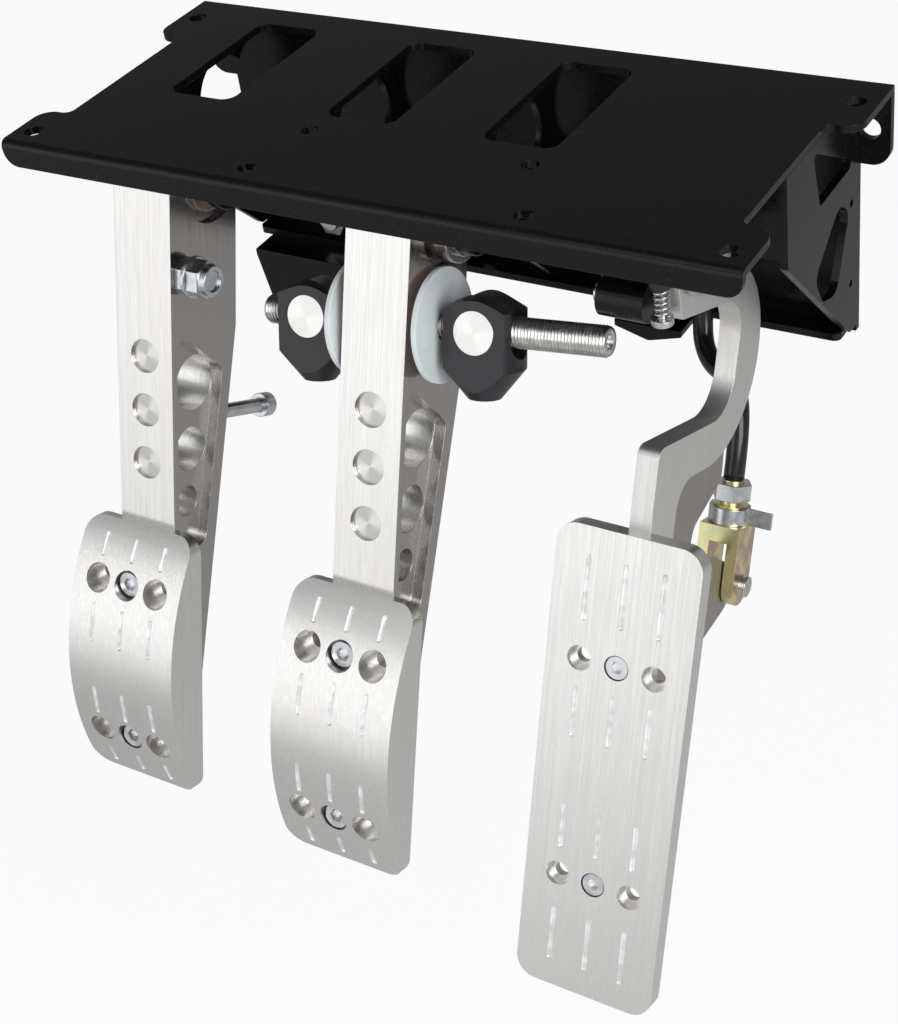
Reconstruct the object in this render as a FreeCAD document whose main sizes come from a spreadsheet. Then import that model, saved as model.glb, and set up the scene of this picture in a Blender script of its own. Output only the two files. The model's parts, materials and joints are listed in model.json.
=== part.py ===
import FreeCAD, Part
import math
import os
import Sketcher
from FreeCAD import Placement, Rotation, Vector

# Pedal box for a car: a black sheet metal box that bolts up under a dashboard, with hanging clutch and
# brake pedals, a balance bar through the brake arm, and a throttle pedal that works a cable.
# Millimetres. The origin is the centre of the four corner holes on the top face. +X is to the driver's
# right, +Y is forwards to the bulkhead and +Z is up.

DRIVING_SIZES = [
    # The folded top plate
    ("sheet", 3.0, "thickness of every folded plate"),
    ("hole_half_x", 140.0, "corner holes, half their spacing across"),
    ("hole_half_y", 52.0, "corner holes, half their spacing fore and aft"),
    ("corner_hole", 3.6, "radius of a corner hole"),
    ("plate_front", 62.4, "from the origin back to the front lip's face"),
    ("plate_rear", 67.4, "from the origin to the rear plate's back face"),
    ("tab_half", 148.0, "half width over the corner tabs"),
    ("body_half", 136.2, "half width over the side gussets"),
    ("front_tab_end", 36.0, "where the front tabs stop"),
    ("rear_tab_end", 34.0, "where the rear tabs stop"),
    ("tab_round", 7.0, "outer corner radius of a tab"),
    ("lip_depth", 10.2, "depth of the front lip below the top face"),
    ("fold_round", 3.0, "outer radius of the front lip's fold"),
    ("slot_length", 63.6, "length of a slot"),
    ("slot_width", 29.2, "width of a slot"),
    ("slot_centre_y", 22.7, "middle of a slot, fore and aft"),
    ("slot_round", 5.0, "corner radius of a slot"),
    ("slot_left", -94.7, "middle of the left slot"),
    ("slot_middle", -23.4, "middle of the second slot"),
    ("slot_right", 42.0, "middle of the right slot"),
    ("small_hole", 3.25, "radius of the other holes in the top plate"),
    ("front_row_left", -41.8, "left hole of the front row"),
    ("front_row_right", 68.0, "right hole of the front row"),
    ("middle_row_left", -35.8, "left hole of the middle row"),
    ("middle_row_right", 53.9, "right hole of the middle row"),
    ("middle_row_y", -21.0, "middle row, fore and aft"),
    # The rear plate
    ("rear_drop", 100.0, "height of the rear plate"),
    ("rear_flange", 9.4, "depth of the flange along its bottom edge"),
    ("ear_drop", 30.0, "height of an ear"),
    ("ear_hole_x", 140.4, "middle of an ear's hole"),
    ("ear_hole_z", -16.2, "height of an ear's hole"),
    ("ear_hole", 4.0, "radius of an ear's hole"),
    ("cylinder_z", -60.0, "height of the master cylinder bores"),
    ("cylinder_bore", 13.5, "radius of a master cylinder bore"),
    ("cylinder_stud_half", 28.6, "half the spacing of a master cylinder's bolts"),
    ("cylinder_stud", 4.2, "radius of a master cylinder's bolt hole"),
    # The side and inner gussets
    ("gusset_front", 0.5, "front edge of a gusset"),
    ("gusset_shoulder", -37.6, "height where a gusset's edge turns back"),
    ("gusset_toe", 58.0, "where the slanted edge meets the bottom"),
    ("gusset_flange", 16.0, "width of the flange along a side gusset's front edge"),
    ("side_round_y", 51.0, "middle of the round hole in the left gusset"),
    ("side_round_z", -33.0, "height of the round hole in the left gusset"),
    ("side_round", 16.5, "radius of the round hole in the left gusset"),
    ("inner_left_x", -57.3, "middle plane of the left inner gusset"),
    ("inner_right_x", 11.2, "middle plane of the right inner gusset"),
    ("inner_hole_y", 40.0, "middle of an inner gusset's round hole"),
    ("inner_hole_z", -29.0, "height of an inner gusset's round hole"),
    ("inner_hole", 18.0, "radius of an inner gusset's round hole"),
    # The lower brackets
    ("bracket_face", 42.0, "front face of the lower brackets"),
    ("bracket_left_start", -127.0, "left edge of the left bracket"),
    ("bracket_left_end", -64.0, "right edge of the left bracket"),
    ("bracket_left_drop", 25.0, "drop of the left bracket's front face"),
    ("bracket_right_start", 46.0, "left edge of the right bracket"),
    ("bracket_right_end", 74.5, "right edge of the right bracket"),
    ("bracket_right_drop", 4.2, "drop of the right bracket's pointed front face"),
    # The pivots
    ("pivot_y", -27.5, "pivot line, fore and aft"),
    ("pivot_z", -23.5, "pivot line, height"),
    ("pivot_bolt", 5.0, "radius of a pivot bolt"),
    ("running_gap", 0.05, "radial clearance of what turns"),
    ("seat_gap", 0.02, "radial clearance of what is pressed or screwed in"),
    ("side_gap", 0.1, "end clearance of what turns"),
    ("bush_wall", 2.0, "wall of a pivot bush"),
    ("bush_length", 9.0, "length of a pivot bush in its bore"),
    ("bush_flange", 12.0, "radius of a pivot bush's flange"),
    ("bush_flange_thick", 2.0, "thickness of a pivot bush's flange"),
    ("lug_radius", 10.0, "radius of a pivot lug's round end"),
    ("lug_thick", 5.0, "thickness of a pivot lug"),
    ("spacer_radius", 8.0, "radius of a plain spacer"),
    ("spacer_length", 4.0, "length of a plain spacer"),
    ("wide_spacer_radius", 13.6, "radius of the wide spacer on the brake pivot"),
    ("wide_spacer_length", 6.8, "length of the wide spacer on the brake pivot"),
    ("wide_washer_radius", 11.0, "radius of the washer beside the wide spacer"),
    ("wide_washer_thick", 1.5, "thickness of the washer beside the wide spacer"),
    ("pivot_head_flats", 16.0, "across the flats of a pivot bolt's head and nut"),
    ("pivot_head", 6.4, "thickness of a pivot bolt's head"),
    ("pivot_nut", 8.0, "thickness of a pivot bolt's nut"),
    # The clutch and brake arms, drawn upright with the pivot at their origin
    ("clutch_x", -94.5, "middle plane of the clutch arm"),
    ("clutch_tilt", 18.2, "lean of the clutch arm in degrees"),
    ("brake_x", 9.0, "middle plane of the brake arm"),
    ("brake_tilt", 19.75, "lean of the brake arm in degrees"),
    ("arm_width", 26.4, "width of an arm"),
    ("arm_depth", 39.8, "depth of an arm beside its pivot"),
    ("arm_front", 24.3, "from the pivot back to an arm's front face"),
    ("arm_top", 13.0, "from the pivot up to an arm's top"),
    ("arm_taper_start", 59.5, "where an arm begins to taper"),
    ("arm_taper_end", 168.5, "where the taper turns steeper, behind the pad"),
    ("arm_depth_low", 22.0, "depth of an arm where the taper turns steeper"),
    ("arm_end", 236.0, "bottom end of an arm"),
    ("arm_depth_end", 11.0, "depth of an arm at its bottom end"),
    ("arm_top_round", 12.0, "radius of the corners at an arm's top"),
    ("recess_radius", 16.3, "radius of the recess around a pivot bush"),
    ("recess_depth", 2.2, "depth of that recess"),
    ("pocket_depth", 4.6, "depth of the pockets in an arm's sides"),
    ("pocket_front_wall", 3.2, "wall in front of a pocket"),
    ("pocket_rear_wall", 6.1, "wall behind a pocket"),
    ("pocket_top_front", 54.5, "top of a pocket at its front"),
    ("pocket_top_rear", 75.0, "top of a pocket at its rear"),
    ("pocket_bottom", 145.5, "bottom of a pocket"),
    ("pocket_round", 6.0, "corner radius of a pocket"),
    ("web_hole_top", 79.1, "first hole through the web, below the pivot"),
    ("web_hole_top_v", 18.9, "first hole through the web, behind the front face"),
    ("web_hole_top_radius", 11.1, "radius of the first hole through the web"),
    ("web_hole_middle", 105.6, "second hole through the web, below the pivot"),
    ("web_hole_middle_v", 16.3, "second hole through the web, behind the front face"),
    ("web_hole_middle_radius", 9.0, "radius of the second hole through the web"),
    ("web_hole_low", 126.9, "third hole through the web, below the pivot"),
    ("web_hole_low_v", 13.8, "third hole through the web, behind the front face"),
    ("web_hole_low_radius", 6.2, "radius of the third hole through the web"),
    ("dimple_first", 65.5, "first dimple in an arm's front face, below the pivot"),
    ("dimple_spacing", 21.5, "spacing of the dimples"),
    ("dimple_radius", 6.5, "radius of a dimple"),
    ("dimple_depth", 1.5, "depth of a dimple"),
    # The clutch's bolts
    ("cross_drop", 33.5, "cross bolt, below the pivot"),
    ("cross_back", 8.5, "cross bolt, behind the front face"),
    ("cross_bolt", 4.0, "radius of the cross bolt's thread"),
    ("cross_inside", 13.0, "length of the cross bolt screwed into the arm"),
    ("cross_shoulder", 3.6, "thickness of the cross bolt's hexagonal shoulder"),
    ("cross_stud", 9.0, "length of the cross bolt beyond its shoulder"),
    ("cross_washer", 8.0, "radius of the cross bolt's washer"),
    ("cross_washer_thick", 1.6, "thickness of the cross bolt's washer"),
    ("cross_flats", 13.0, "across the flats of the cross bolt's shoulder and nut"),
    ("cross_nut", 5.4, "thickness of the hexagon of the cross bolt's nut"),
    ("cross_collar", 5.9, "radius of the locking collar on that nut"),
    ("cross_collar_height", 3.0, "height of the locking collar on that nut"),
    ("stop_drop", 98.2, "stop screw, below the pivot"),
    ("stop_lean", 9.2, "stop screw's angle down from square to the arm, in degrees"),
    ("stop_screw", 3.0, "radius of the stop screw"),
    ("stop_reach", 46.0, "length of the stop screw that stands out"),
    ("stop_head", 5.0, "radius of the stop screw's head"),
    ("stop_head_height", 6.0, "height of the stop screw's head"),
    ("stop_inside", 5.0, "length of the stop screw in the arm"),
    ("stop_nut_flats", 10.0, "across the flats of the stop screw's lock nut"),
    ("stop_nut", 5.0, "thickness of the stop screw's lock nut"),
    # The clutch and brake pads
    ("pad_width", 52.2, "width of a pad"),
    ("pad_length", 112.0, "length of a pad"),
    ("pad_thick", 19.45, "thickness of a pad at its middle"),
    ("pad_arc", 106.1, "radius of a pad's domed face"),
    ("pad_drop", 189.5, "middle of a pad, below the pivot"),
    ("pad_round", 7.5, "corner radius of a pad"),
    ("pad_column", 14.27, "from a pad's middle to its outer holes"),
    ("pad_row", 33.45, "from a pad's middle to its rows of holes"),
    ("pad_hole", 3.2, "radius of a pad's screw hole"),
    ("pad_counterbore", 5.8, "radius of a pad's counterbore"),
    ("pad_seat", 6.0, "thickness of a pad under a screw head"),
    ("pad_screw", 3.0, "radius of a pad screw"),
    ("pad_screw_head", 5.0, "radius of a pad screw's head"),
    ("pad_screw_head_height", 6.0, "height of a pad screw's head"),
    ("pad_screw_reach", 8.5, "length of a pad screw in the arm"),
    ("groove", 0.95, "radius of a groove in a pad"),
    # The balance bar
    ("bar_drop", 36.5, "balance bar's bearing, below the pivot"),
    ("bar_back", 17.0, "balance bar's bearing, behind the front face"),
    ("bar_radius", 5.55, "radius of the balance bar"),
    ("bar_left", 55.0, "left end of the bar from the bearing"),
    ("bar_right", 82.0, "right end of the bar from the bearing"),
    ("bar_yaw", 2.9, "the bar's right end is this far forwards, in degrees"),
    ("bar_lean", 4.35, "the bar's right end is this far up, in degrees"),
    ("bar_recess", 2.4, "radius of the recess in the bar's right end"),
    ("bar_recess_depth", 4.0, "depth of that recess"),
    ("tube_radius", 12.0, "outer radius of the bearing tube"),
    ("tube_bore", 10.8, "bore of the bearing tube"),
    ("tube_stand", 1.6, "bearing tube's end, beyond an arm's side"),
    ("race_half", 5.0, "half width of the bearing's race"),
    ("ball_radius", 8.8, "radius of the bearing's ball"),
    ("ball_half", 6.5, "half width of the bearing's ball"),
    ("circlip_thick", 1.2, "thickness of a circlip"),
    ("circlip_wall", 1.5, "radial width of a circlip"),
    ("disc_radius", 20.6, "radius of a nylon disc"),
    ("disc_stand", 3.4, "inner face of a nylon disc, beyond an arm's side"),
    ("disc_thick", 2.1, "thickness of a nylon disc"),
    ("clevis_side", 1.0, "gap between a nylon disc and a clevis"),
    ("trunnion_radius", 7.9, "radius of a trunnion"),
    ("clevis_radius", 14.7, "radius of a clevis"),
    ("clevis_flat", 8.8, "from a clevis's middle to its flats"),
    ("slot_room", 0.55, "room beside the bar in a clevis's slot"),
    ("clevis_slot_drop", 9.2, "bottom of a clevis's slot below the bar"),
    ("clevis_bottom", 24.3, "bottom of a clevis below the bar"),
    ("clevis_top", 12.9, "top of a clevis above the bar"),
    ("clevis_shoulder_low", 13.4, "where the lower taper starts, below the bar"),
    ("clevis_shoulder_high", 7.4, "where the upper taper starts, above the bar"),
    ("clevis_nose", 5.9, "radius of a clevis's bottom face"),
    ("clevis_crown", 6.1, "radius of a clevis's top face"),
    ("clevis_swing", 21.8, "the clevises hang with their bottoms this far towards the driver, in degrees"),
    ("pushrod_thread", 3.4, "radius of the tapped hole for a push rod"),
    # The throttle, drawn upright with the pivot at its origin
    ("throttle_x", 112.0, "middle plane of the throttle arm"),
    ("throttle_tilt", 21.58, "lean of the throttle pedal in degrees"),
    ("throttle_thick", 8.0, "thickness of the throttle arm"),
    ("throttle_eye", 12.4, "radius of the arm's end around its pivot"),
    ("throttle_toe", 17.3, "bottom of the toe below the pivot"),
    ("throttle_toe_front", 5.6, "front of the toe's bottom, from the pivot"),
    ("throttle_shelf_top", 4.0, "top of the upper bar below the pivot"),
    ("throttle_bend_out", 67.5, "outer side of the bend, from the pivot"),
    ("throttle_bend_in", 47.5, "inner side of the bend, from the pivot"),
    ("throttle_shelf_low", 60.0, "top of the lower bar below the pivot"),
    ("throttle_shelf_under", 76.5, "underside of the lower bar below the pivot"),
    ("throttle_bend_round", 15.0, "inner radius of the bend"),
    ("throttle_leg_back", 8.0, "back of the leg behind the pad"),
    ("throttle_leg_end", 234.0, "bottom end of the leg"),
    ("throttle_heel", 11.0, "radius where the leg meets the lower bar"),
    ("ear_thick", 6.0, "thickness of the ear that carries the clevis"),
    ("ear_round", 8.0, "radius of the ear around the clevis pin"),
    ("throttle_pad_width", 54.2, "width of the throttle pad"),
    ("throttle_pad_thick", 7.2, "thickness of the throttle pad"),
    ("throttle_pad_front", 19.35, "from the pivot back to the throttle pad's face"),
    ("throttle_pad_top", 89.1, "top of the throttle pad below the pivot"),
    ("throttle_pad_length", 177.5, "length of the throttle pad"),
    ("throttle_pad_round", 8.0, "corner radius of the throttle pad"),
    ("throttle_column", 14.13, "from the middle to the outer holes"),
    ("throttle_row_high", 137.2, "upper row of holes below the pivot"),
    ("throttle_row_low", 221.2, "lower row of holes below the pivot"),
    ("throttle_pad_hole", 2.75, "radius of a screw hole"),
    ("throttle_counterbore", 4.6, "radius of a counterbore"),
    ("throttle_pad_seat", 3.2, "thickness under a screw head"),
    ("throttle_screw", 2.5, "radius of a throttle pad screw"),
    ("throttle_screw_head", 4.25, "radius of a throttle pad screw's head"),
    ("throttle_screw_height", 3.6, "height of a throttle pad screw's head"),
    ("throttle_screw_reach", 12.0, "length of a throttle pad screw in the leg"),
    # The throttle's pivot and stop
    ("housing_radius", 9.5, "radius of the black pivot housing"),
    ("housing_left", 26.0, "left end of the housing, from the arm's middle"),
    ("housing_right", 6.2, "right end of the housing, from the arm's middle"),
    ("housing_chamfer", 1.5, "chamfer at the ends of the housing"),
    ("stop_barrel_y", -36.4, "barrel below the housing, fore and aft"),
    ("stop_barrel_z", -34.7, "barrel below the housing, height"),
    ("stop_barrel", 7.3, "radius of the barrel below the housing"),
    ("stop_barrel_left", 25.5, "left end of the barrel, from the arm's middle"),
    ("stop_barrel_right", 8.3, "right end of the barrel, from the arm's middle"),
    ("barrel_screw", 1.6, "radius of the screw in the barrel's end"),
    ("barrel_screw_head", 3.1, "radius of that screw's head"),
    ("barrel_screw_height", 2.8, "height of that screw's head"),
    ("barrel_screw_reach", 10.0, "length of that screw in the barrel"),
    ("throttle_bush_flange", 9.5, "radius of a throttle bush's flange"),
    ("throttle_bush_flange_thick", 1.0, "thickness of a throttle bush's flange"),
    ("throttle_washer", 8.8, "radius of the throttle pivot's left washer"),
    ("throttle_washer_thick", 1.5, "thickness of the throttle pivot's washers"),
    ("jam_nut", 4.0, "thickness of the throttle pivot's nut"),
    ("stop_spring_y", -44.6, "throttle stop screw, fore and aft"),
    ("stop_spring_x", 111.6, "throttle stop screw, across"),
    ("stop_spring_bottom", -33.9, "underside of the stop spring"),
    ("stop_spring_top", -22.5, "top of the stop spring"),
    ("stop_spring_coil", 2.25, "mean radius of the stop spring"),
    ("stop_spring_wire", 0.45, "wire radius of the stop spring"),
    ("stop_spring_pitch", 2.0, "pitch of the stop spring"),
    ("throttle_stop", 1.5, "radius of the throttle stop screw"),
    ("throttle_stop_head", 3.8, "radius of the throttle stop screw's head"),
    ("throttle_stop_head_height", 2.4, "height of the throttle stop screw's head"),
    # The cable's clevis
    ("fork_back", 69.6, "clevis pin, from the pivot"),
    ("fork_drop", 131.1, "clevis pin, below the pivot"),
    ("fork_size", 16.0, "width of the square fork"),
    ("fork_slot", 7.0, "width of the fork's slot"),
    ("fork_slot_top", 17.5, "top of the fork's slot above the pin"),
    ("fork_top", 24.0, "top of the square part above the pin"),
    ("fork_end", 8.0, "bottom of the fork below the pin"),
    ("fork_neck", 6.5, "radius of the fork's neck"),
    ("fork_neck_top", 31.0, "top of the fork's neck above the pin"),
    ("fork_pin", 4.0, "radius of the clevis pin"),
    ("fork_pin_left", 9.2, "left end of the clevis pin"),
    ("fork_pin_right", 11.0, "right end of the clevis pin"),
    ("clip_wall", 1.2, "thickness of the spring clip"),
    ("clip_height", 6.5, "height of the spring clip's collar"),
    ("clip_tab", 17.0, "reach of the spring clip's tab"),
    ("cable_nut_flats", 13.0, "across the flats of the cable's lock nut"),
    ("cable_nut", 6.5, "thickness of the cable's lock nut"),
    ("cable_start", 40.5, "where the cable leaves its end, above the pin"),
    ("cable_radius", 4.0, "radius of the cable's sheath"),
    ("ferrule_x", 82.3, "elbow of the cable ferrule, across"),
    ("ferrule_stand", 8.2, "elbow of the cable ferrule, in front of the rear plate"),
    ("ferrule_z", -57.3, "elbow of the cable ferrule, height"),
    ("ferrule_radius", 6.5, "radius of the cable ferrule"),
    ("ferrule_cup", 8.0, "from the elbow to the end of the cable"),
    ("ferrule_mouth", 4.0, "depth of the cup that the cable sits in"),
    ("ferrule_shank", 4.5, "radius of the cable ferrule's shank"),
    ("ferrule_reach", 6.0, "length of the shank behind the rear plate"),
]

# The cable's route between its end and the ferrule, chosen by hand: across, fore and aft, height
CABLE_POINTS = [
    (112.0, 12.0, -112.9),
    (104.0, 26.0, -105.5),
    (88.0, 36.5, -107.0),
    (80.5, 47.5, -97.0),
]

ALONG_X = Rotation(Vector(0, 1, 0), 90)
ALONG_Y = Rotation(Vector(1, 0, 0), -90)
ALONG_Z = Rotation()
TOUCH = 0.05

doc = FreeCAD.newDocument("pedal_box")
sheet = doc.addObject("Spreadsheet::Sheet", "sizes")
nodes = {}


class Amount:
    """A number together with the sheet formula that gives it, so that sums stay bound to the sheet."""

    def __init__(self, value, text):
        self.value = float(value)
        self.text = text

    def __add__(self, other):
        other = amount(other)
        return Amount(self.value + other.value, f"({self.text} + {other.text})")

    def __radd__(self, other):
        return amount(other) + self

    def __sub__(self, other):
        other = amount(other)
        return Amount(self.value - other.value, f"({self.text} - {other.text})")

    def __rsub__(self, other):
        return amount(other) - self

    def __mul__(self, other):
        other = amount(other)
        return Amount(self.value * other.value, f"({self.text} * {other.text})")

    def __rmul__(self, other):
        return amount(other) * self

    def __truediv__(self, other):
        other = amount(other)
        return Amount(self.value / other.value, f"({self.text} / {other.text})")

    def __neg__(self):
        return Amount(-self.value, f"(0 - {self.text})")


def amount(number):
    """A plain number as an amount."""
    if isinstance(number, Amount):
        return number
    return Amount(number, f"({float(number):.6f})")


def cosine(angle):
    return Amount(math.cos(math.radians(angle.value)), f"cos({angle.text})")


def sine(angle):
    return Amount(math.sin(math.radians(angle.value)), f"sin({angle.text})")


def root(square):
    return Amount(math.sqrt(square.value), f"sqrt({square.text})")


class Sizes:
    """Every driving size by its name."""


size = Sizes()
for row, (alias, value, note) in enumerate(DRIVING_SIZES, 1):
    sheet.set(f"A{row}", note)
    sheet.set(f"B{row}", str(value))
    sheet.setAlias(f"B{row}", alias)
    setattr(size, alias, Amount(value, f"sizes.{alias}"))
doc.recompute()

# Sizes that follow from others: the bar's pieces stand beside the arm, and each slot fits the bar
size.tube_half = size.arm_width / 2 + size.tube_stand
size.disc_start = size.arm_width / 2 + size.disc_stand
size.trunnion_x = size.disc_start + size.disc_thick + size.clevis_side + size.clevis_radius
size.clevis_slot = size.bar_radius + size.slot_room


def bind(item, name, value):
    item.setExpression(name, amount(value).text)


def move(item, x=0, y=0, z=0, turn=ALONG_Z):
    """Put a piece at a bound place, turned by a fixed rotation."""
    item.Placement = Placement(Vector(), turn)
    bind(item, "Placement.Base.x", x)
    bind(item, "Placement.Base.y", y)
    bind(item, "Placement.Base.z", z)
    return item


def lean(item, x, angle):
    """Hang a piece that is drawn upright from the pivot line, leaning by a bound angle."""
    move(item, x, size.pivot_y, size.pivot_z, Rotation(Vector(-1, 0, 0), angle.value))
    bind(item, "Placement.Rotation.Angle", angle)
    return item


def box(name, x, y, z, length_x, length_y, length_z):
    """A block from its lowest corner."""
    item = doc.addObject("Part::Box", name)
    bind(item, "Length", length_x)
    bind(item, "Width", length_y)
    bind(item, "Height", length_z)
    return move(item, x, y, z)


def rod(name, turn, x, y, z, radius, length):
    """A round bar that starts at a point and runs along an axis."""
    item = doc.addObject("Part::Cylinder", name)
    bind(item, "Radius", radius)
    bind(item, "Height", length)
    return move(item, x, y, z, turn)


def taper(name, turn, x, y, z, start_radius, end_radius, length):
    item = doc.addObject("Part::Cone", name)
    bind(item, "Radius1", start_radius)
    bind(item, "Radius2", end_radius)
    bind(item, "Height", length)
    return move(item, x, y, z, turn)


def hexagon(name, turn, x, y, z, flats, length):
    item = doc.addObject("Part::Prism", name)
    item.Polygon = 6
    bind(item, "Circumradius", flats / (2 * cosine(amount(30))))
    bind(item, "Height", length)
    return move(item, x, y, z, turn)


def ball(name, x, y, z, radius, turn=ALONG_Z):
    """A sphere whose poles lie along an axis."""
    item = doc.addObject("Part::Sphere", name)
    bind(item, "Radius", radius)
    return move(item, x, y, z, turn)


def fuse(name, items):
    item = doc.addObject("Part::MultiFuse", name)
    item.Shapes = items
    return item


def cut(name, base, tools):
    """Take the tools away from the base."""
    item = doc.addObject("Part::Cut", name)
    item.Base = base
    item.Tool = tools[0] if len(tools) == 1 else fuse(name + "_tools", tools)
    return item


def common(name, first, second):
    item = doc.addObject("Part::Common", name)
    item.Base = first
    item.Tool = second
    return item


def ring(name, turn, x, y, z, radius, bore, length):
    """A washer, bush or tube."""
    solid = rod(name + "_outside", turn, x, y, z, radius, length)
    hole = rod(name + "_bore", turn, x, y, z, bore, length)
    return cut(name, solid, [hole])


def node(name, item):
    """Name a finished sub-part."""
    item.Label = name
    nodes[name] = item
    return item


def outline(name, role, corners, start, length):
    """A plate with straight edges, padded from a sketch on one of its body's own planes.

    A corner is two bound places on the plane and, where it is rounded, its radius.
    """
    body = doc.addObject("PartDesign::Body", name)
    plane = next(feature for feature in body.Origin.OriginFeatures if feature.Role == role)
    sketch = body.newObject("Sketcher::SketchObject", name + "_sketch")
    sketch.AttachmentSupport = [(plane, "")]
    sketch.MapMode = "FlatFace"
    bind(sketch, "AttachmentOffset.Base.z", start)
    places = [Vector(amount(corner[0]).value, amount(corner[1]).value, 0) for corner in corners]
    count = len(places)
    for index in range(count):
        sketch.addGeometry(Part.LineSegment(places[index], places[(index + 1) % count]), False)
    for index in range(count):
        sketch.addConstraint(Sketcher.Constraint("Coincident", index, 2, (index + 1) % count, 1))
    for index, corner in enumerate(corners):
        for kind, place, value in (("DistanceX", places[index].x, corner[0]), ("DistanceY", places[index].y, corner[1])):
            number = sketch.addConstraint(Sketcher.Constraint(kind, -1, 1, index, 1, place))
            sketch.setExpression(f"Constraints[{number}]", amount(value).text)
    pad = body.newObject("PartDesign::Pad", name + "_pad")
    pad.Profile = sketch
    bind(pad, "Length", length)
    doc.recompute()
    radii = []
    for corner in corners:
        if len(corner) == 3 and amount(corner[2]).text not in [amount(known).text for known in radii]:
            radii.append(corner[2])
    for number, radius in enumerate(radii):
        rounded = [place for place, corner in zip(places, corners)
                   if len(corner) == 3 and amount(corner[2]).text == amount(radius).text]
        round_edges(body, f"{name}_round_{number}", role, rounded, radius)
    return body


def round_edges(body, name, role, places, radius):
    """Round the edges of a padded plate that stand on the given corners of its sketch."""
    first, second = {"XY_Plane": ("x", "y"), "XZ_Plane": ("x", "z"), "YZ_Plane": ("y", "z")}[role]
    edges = []
    for index, edge in enumerate(body.Shape.Edges, 1):
        ends = [vertex.Point for vertex in edge.Vertexes]
        for place in places:
            if len(ends) == 2 and all(abs(getattr(end, first) - place.x) < TOUCH
                                      and abs(getattr(end, second) - place.y) < TOUCH for end in ends):
                edges.append(f"Edge{index}")
    if len(edges) != len(places):
        raise RuntimeError(f"{name}: {len(edges)} edges found for {len(places)} corners")
    base = body.Tip
    fillet = body.newObject("PartDesign::Fillet", name)
    fillet.Base = (base, edges)
    bind(fillet, "Radius", radius)
    body.Tip = fillet
    doc.recompute()


def screw(name, turn, x, y, z, radius, length, head_radius, head_height, socket):
    """A socket screw: its head starts at the point and its shank follows along the axis."""
    step = turn.multVec(Vector(0, 0, 1))
    head = rod(name + "_head", turn, x, y, z, head_radius, head_height)
    shank = rod(name + "_shank", turn, x + step.x * head_height, y + step.y * head_height,
                z + step.z * head_height, radius, length)
    key = hexagon(name + "_key", turn, x, y, z, socket, head_height * 0.6)
    return cut(name, fuse(name + "_solid", [head, shank]), [key])


def mount_plate():
    """The folded top plate: four corner tabs, three slots, the small holes and the front lip."""
    front = -size.plate_front
    inner = size.tab_round
    corners = [
        (-size.tab_half, front), (size.tab_half, front),
        (size.tab_half, -size.front_tab_end, size.tab_round), (size.body_half, -size.front_tab_end, inner / 2),
        (size.body_half, size.rear_tab_end, inner / 2), (size.tab_half, size.rear_tab_end, size.tab_round),
        (size.tab_half, size.plate_rear), (-size.tab_half, size.plate_rear),
        (-size.tab_half, size.rear_tab_end, size.tab_round), (-size.body_half, size.rear_tab_end, inner / 2),
        (-size.body_half, -size.front_tab_end, inner / 2), (-size.tab_half, -size.front_tab_end, size.tab_round),
    ]
    top = outline("top_sheet", "XY_Plane", corners, -size.sheet, size.sheet)
    lip = outline("front_lip", "XZ_Plane", [
        (-size.tab_half, -size.sheet), (size.tab_half, -size.sheet),
        (size.tab_half, -size.lip_depth, (size.lip_depth - size.sheet) / 1.2),
        (-size.tab_half, -size.lip_depth, (size.lip_depth - size.sheet) / 1.2),
    ], size.plate_front - size.sheet, size.sheet)
    holes = []
    for number, (x, y, radius) in enumerate([
            (-size.hole_half_x, -size.hole_half_y, size.corner_hole),
            (size.hole_half_x, -size.hole_half_y, size.corner_hole),
            (-size.hole_half_x, size.hole_half_y, size.corner_hole),
            (size.hole_half_x, size.hole_half_y, size.corner_hole),
            (size.front_row_left, -size.hole_half_y, size.small_hole),
            (size.front_row_right, -size.hole_half_y, size.small_hole),
            (size.middle_row_left, size.middle_row_y, size.small_hole),
            (size.middle_row_right, size.middle_row_y, size.small_hole)]):
        holes.append(rod(f"plate_hole_{number}", ALONG_Z, x, y, -size.sheet, radius, size.sheet))
    for number, x in enumerate([size.slot_left, size.slot_middle, size.slot_right]):
        near = size.slot_centre_y - size.slot_length / 2
        far = size.slot_centre_y + size.slot_length / 2
        left = x - size.slot_width / 2
        right = x + size.slot_width / 2
        holes.append(outline(f"slot_{number}", "XY_Plane", [
            (left, near, size.slot_round), (right, near, size.slot_round),
            (right, far, size.slot_round), (left, far, size.slot_round)], -size.sheet, size.sheet))
    fold = size.fold_round
    corner = box("fold_corner", -size.tab_half, -size.plate_front, -fold, 2 * size.tab_half, fold, fold)
    bend = rod("fold_bend", ALONG_X, -size.tab_half, fold - size.plate_front, -fold, fold, 2 * size.tab_half)
    holes.append(cut("fold_waste", corner, [bend]))
    node("mount_plate", cut("mount_plate", fuse("folded_top", [top, lip]), holes))


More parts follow.
